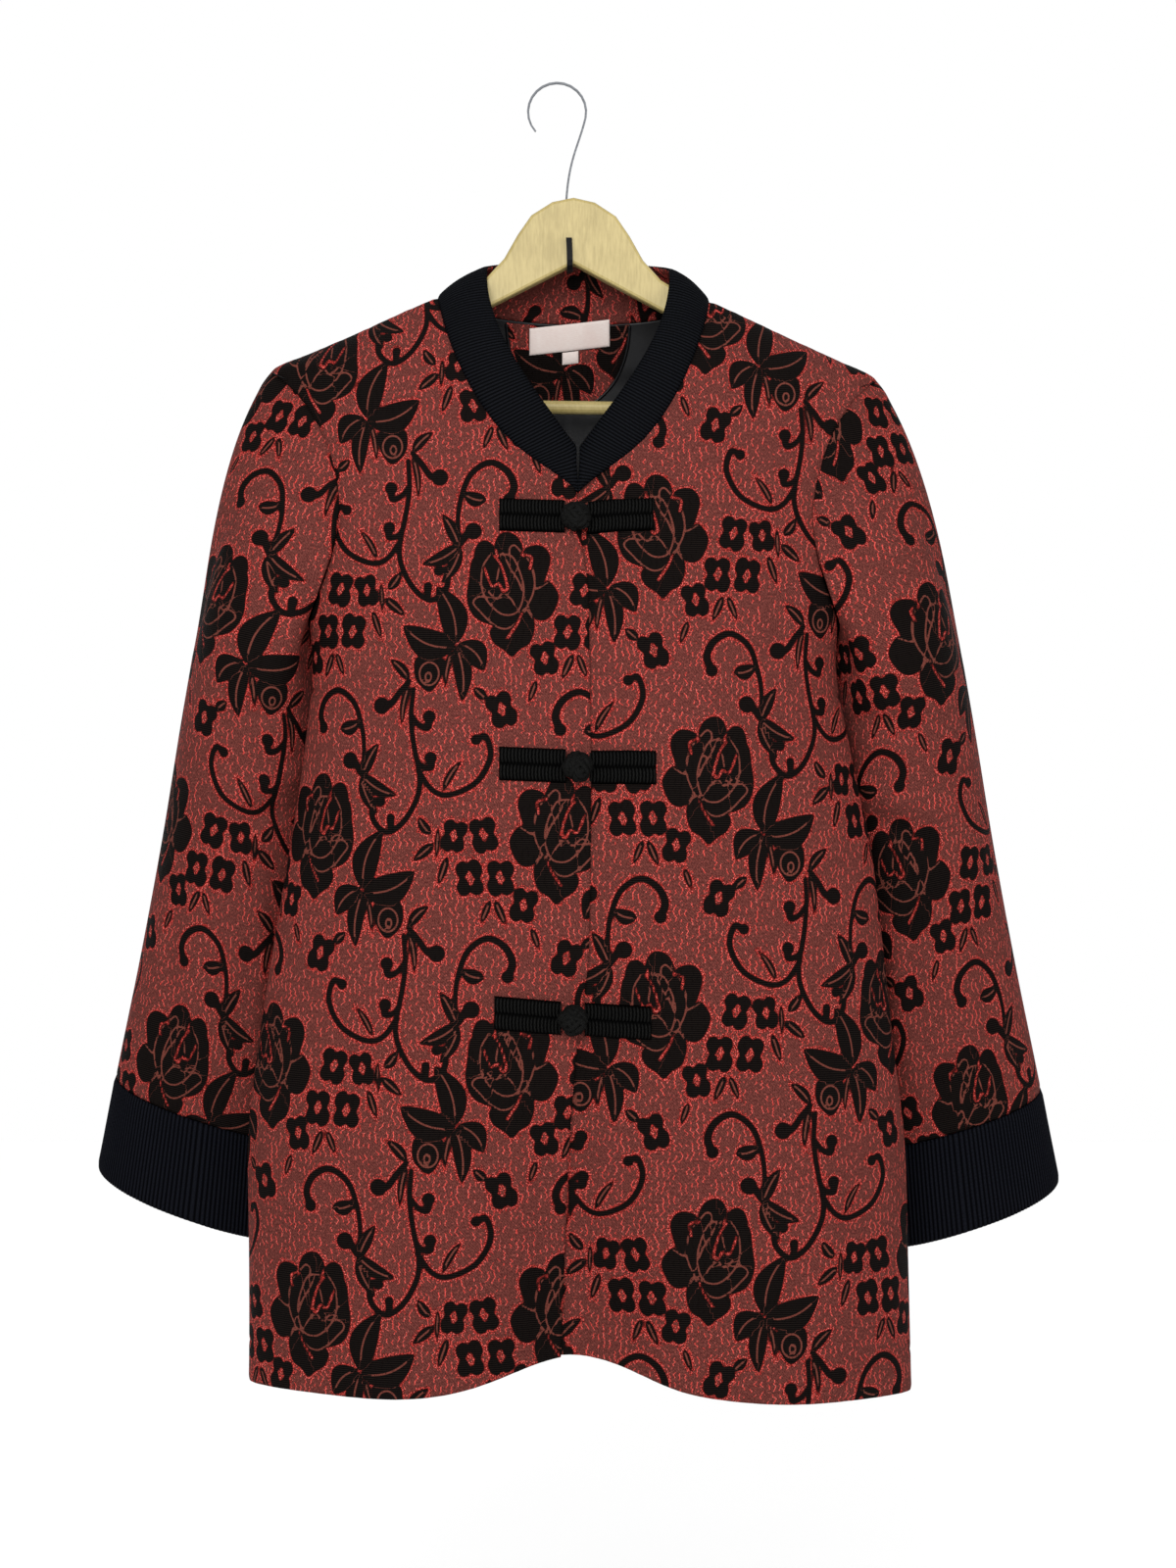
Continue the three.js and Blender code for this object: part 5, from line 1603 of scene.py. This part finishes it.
def frog_bar(frog, side):
    """A bar of cord laid to and fro: two rolls of ribs with a groove between them."""
    word = SIDE_WORD[side]
    seed = int(-frog["z"]) + side
    place = np.linspace(0, 1, BAR_RIBS * PER_BAR_RIB + 1)[None, :]
    across = np.linspace(-0.5, 0.5, BAR_ROWS + 1)[:, None]
    slant = np.where(across > 0, 0.35, 0.0) + 0.5 * (np.abs(across) * 4 - 1) ** 2 * 0.5
    beat = place * BAR_RIBS + slant
    own = 1 + 0.10 * ripple(np.floor(beat), seed, wave=3.3)
    rib = np.abs(np.sin(math.pi * beat)) ** 0.75 * own
    bulge = np.sqrt(np.clip(1 - np.abs(np.abs(across) * 4 - 1) ** 2.6, 0, 1))
    bulge = np.where(np.abs(across) < 0.25, mix(0.3, 1, bulge), bulge)
    ends = ease((1 - place) * BAR_LENGTH / 1.6)
    rise = BAR_EDGE + BAR_THICK * bulge * (0.62 + 0.38 * rib) * mix(0.35, 1, ends)
    reach = BAR_START - BAR_TUCK + (BAR_LENGTH + BAR_TUCK) * place
    lean = math.tan(math.radians(frog[word]))
    edge = 0.35 * (rib - 0.5) * np.sign(across) * np.clip(np.abs(across) * 2, 0, 1) ** 4
    x = frog["x"] + side * reach + 0 * across
    z = frog["z"] + side * reach * lean + across * BAR_HEIGHT + edge
    points, normals = on_front(x, z, side)
    outer = points + normals * rise[..., None]
    inner = points - normals * TUCK
    # the rib attribute, rib times bulge, gives the material its painted highlight on the crests of the ribs
    # and rolls and painted shade in the rib valleys and in the groove between the rolls
    fields = {"cloth": cloth_place(across * BAR_HEIGHT, beat * 2.1), "rib": rib * bulge}
    return shell(f"{frog['name']}_{word}_bar_cord", outer, inner, [CORD], fields)


KNOT_CORD = 2.0                    # radius of the cord that the ball is worked in
KNOT_STEPS = 56
KNOT_ROUNDS = (-5.0, -1.7, 1.7, 5.0)
KNOT_AXES = [(0.15, 0.25, 0.95), (0.92, 0.2, -0.3), (-0.35, 0.86, 0.3)]


def frog_knot(frog):
    """A ball knot: rounds of cord about three axes, each wandering over and under the others."""
    seat = on_front(np.array([frog["x"]]), np.array([frog["z"]]))[0][0]
    centre = seat + np.array([0, -KNOT_RADIUS * KNOT_FLAT - 0.2, 0])
    turn = math.radians(-frog["z"] * 1.7)
    c, s = math.cos(turn), math.sin(turn)
    tubes = []
    angle = np.arange(KNOT_STEPS) * 2 * math.pi / KNOT_STEPS
    for k, (x, y, z) in enumerate(KNOT_AXES):
        axis = unit(np.array([x * c - z * s, y, x * s + z * c]))
        first = unit(np.cross(axis, np.array([0.3, 0.5, 0.81])))
        second = np.cross(axis, first)
        for i, offset in enumerate(KNOT_ROUNDS):
            lift = 0.75 * np.sin(3 * angle + 2.1 * k + 1.3 * i)
            drift = offset + 0.5 * np.sin(2 * angle + k + 2 * i)
            radius = np.sqrt((KNOT_RADIUS - KNOT_CORD - 0.5) ** 2 - offset**2 * 0.94) + lift
            path = (axis * drift[:, None] + first * (radius * np.cos(angle))[:, None]
                    + second * (radius * np.sin(angle))[:, None])
            path = path * np.array([1, KNOT_FLAT, 1]) + centre
            tubes.append(tube_mesh(path, KNOT_CORD, closed=True))
    return join_tubes(f"{frog['name']}_knot_cord", tubes, CORD)


PIECES = [  # the piece, its node, its slot, its flat width and length, what it hangs from, its flat area
    (right_front(), "right_front", "brocade", (0.29, 0.745), ["hanger_board"], 0.175),
    (left_front(), "left_front", "brocade", (0.32, 0.745), ["hanger_board"], 0.188),
    (back(), "back", "brocade", (0.50, 0.72), ["hanger_board"], 0.32),
    (sleeve(RIGHT), "right_sleeve", "brocade", (0.40, 0.51), ["right_front", "back"], 0.175),
    (sleeve(LEFT), "left_sleeve", "brocade", (0.40, 0.51), ["left_front", "back"], 0.175),
    (cuff(RIGHT), "right_cuff", "ribbed_trim", (0.34, 0.066), ["right_sleeve"], None),
    (cuff(LEFT), "left_cuff", "ribbed_trim", (0.34, 0.066), ["left_sleeve"], None),
    (neck_band(), "neck_band", "ribbed_trim", (0.46, 0.036), ["right_front", "left_front", "back"], None),
    (collar_facing(), "collar_facing", "brocade", (0.20, 0.040), ["neck_band"], None),
    (back_lining(), "back_lining", "lining", (0.30, 0.16), ["back"], None),
    (neck_facing(), "neck_facing", "brocade", (0.084, 0.056), ["back"], 0.0037),
    (tag("neck_label_cloth", LABEL, True), "neck_label", "label", (0.056, 0.019), ["neck_facing"], None),
    (tag("size_tab_cloth", SIZE_TAB, False), "size_tab", "label", (0.011, 0.010), ["neck_facing"], None),
]
for piece, node, slot, flat, rests_on, area in PIECES:
    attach(piece, "root")
    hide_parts(node)

piping = facing_piping()
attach(piping, "root")

for frog in FROGS:
    for piece, node in ((frog_bar(frog, RIGHT), "right_bar"), (frog_bar(frog, LEFT), "left_bar"),
                        (frog_knot(frog), "knot")):
        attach(piece, "root")
        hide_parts(f"{frog['name']}_{node}")

# ---- carried-over solids ----

for node, material, slot in (("hanger_board", WOOD, "hanger_wood"), ("trouser_bar", WOOD, "hanger_wood"),
                             ("hook", WIRE, "hook_wire"), ("notch_clip", PLASTIC, "clip_black")):
    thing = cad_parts[node]
    thing.data.materials.clear()
    thing.data.materials.append(material)

# ---- camera, light and floor ----

PHOTO_MM = 0.65                    # a millimetre of garment to a pixel of the photograph
PHOTO_HIGH = 1600
CAMERA_FAR = 1.9
CAMERA_X = 0.0175
CAMERA_Z = -0.464
FILM = 36
LIGHTS = [  # name, place, what it points at, size, watts
    ("key", (-0.2, -1.5, 0.15), (0.02, 0, -0.36), 0.8, 27),
    ("fill", (1.5, -1.9, 0.1), (0, 0, -0.5), 1.4, 12),
]
FLOOR_HALF = 4.0
FLOOR_Z = -1.2


def camera():
    lens = bpy.data.cameras.new("camera")
    lens.sensor_width = FILM
    lens.lens = FILM * CAMERA_FAR / (PHOTO_MM * MM * PHOTO_HIGH)
    thing = bpy.data.objects.new("camera", lens)
    thing.location = (CAMERA_X, -CAMERA_FAR, CAMERA_Z)
    thing.rotation_euler = (math.radians(90), 0, 0)
    bpy.context.scene.collection.objects.link(thing)
    bpy.context.scene.camera = thing


def area_light(name, place, target, size, watts):
    light = bpy.data.lights.new(name, "AREA")
    light.energy = watts
    light.size = size
    thing = bpy.data.objects.new(name, light)
    thing.location = place
    direction = np.array(target) - np.array(place)
    thing.rotation_euler = mathutils.Vector(direction).to_track_quat("-Z", "Y").to_euler()
    bpy.context.scene.collection.objects.link(thing)


def studio():
    world = bpy.data.worlds.new("studio")
    world.use_nodes = True
    background = world.node_tree.nodes["Background"]
    background.inputs[0].default_value = (1, 1, 1, 1)
    background.inputs[1].default_value = 1.0
    bpy.context.scene.world = world
    for light in LIGHTS:
        area_light(*light)
    n = Nodes("floor")
    cloud = n.noise(n.object_place(), 3.0, 2.0)
    n.set(Base_Color=n.mix(cloud, (0.985, 0.985, 0.985, 1), (1, 1, 1, 1)), Roughness=0.8)
    corners = ((-1, -1), (1, -1), (1, 1), (-1, 1))
    points = np.array([(x * FLOOR_HALF, y * FLOOR_HALF, FLOOR_Z) for x, y in corners])
    floor = make_mesh("floor", points, [np.array([[0, 1, 2, 3]])], [False], [0], [n.material])


camera()
studio()
bpy.context.scene.view_settings.view_transform = "Standard"
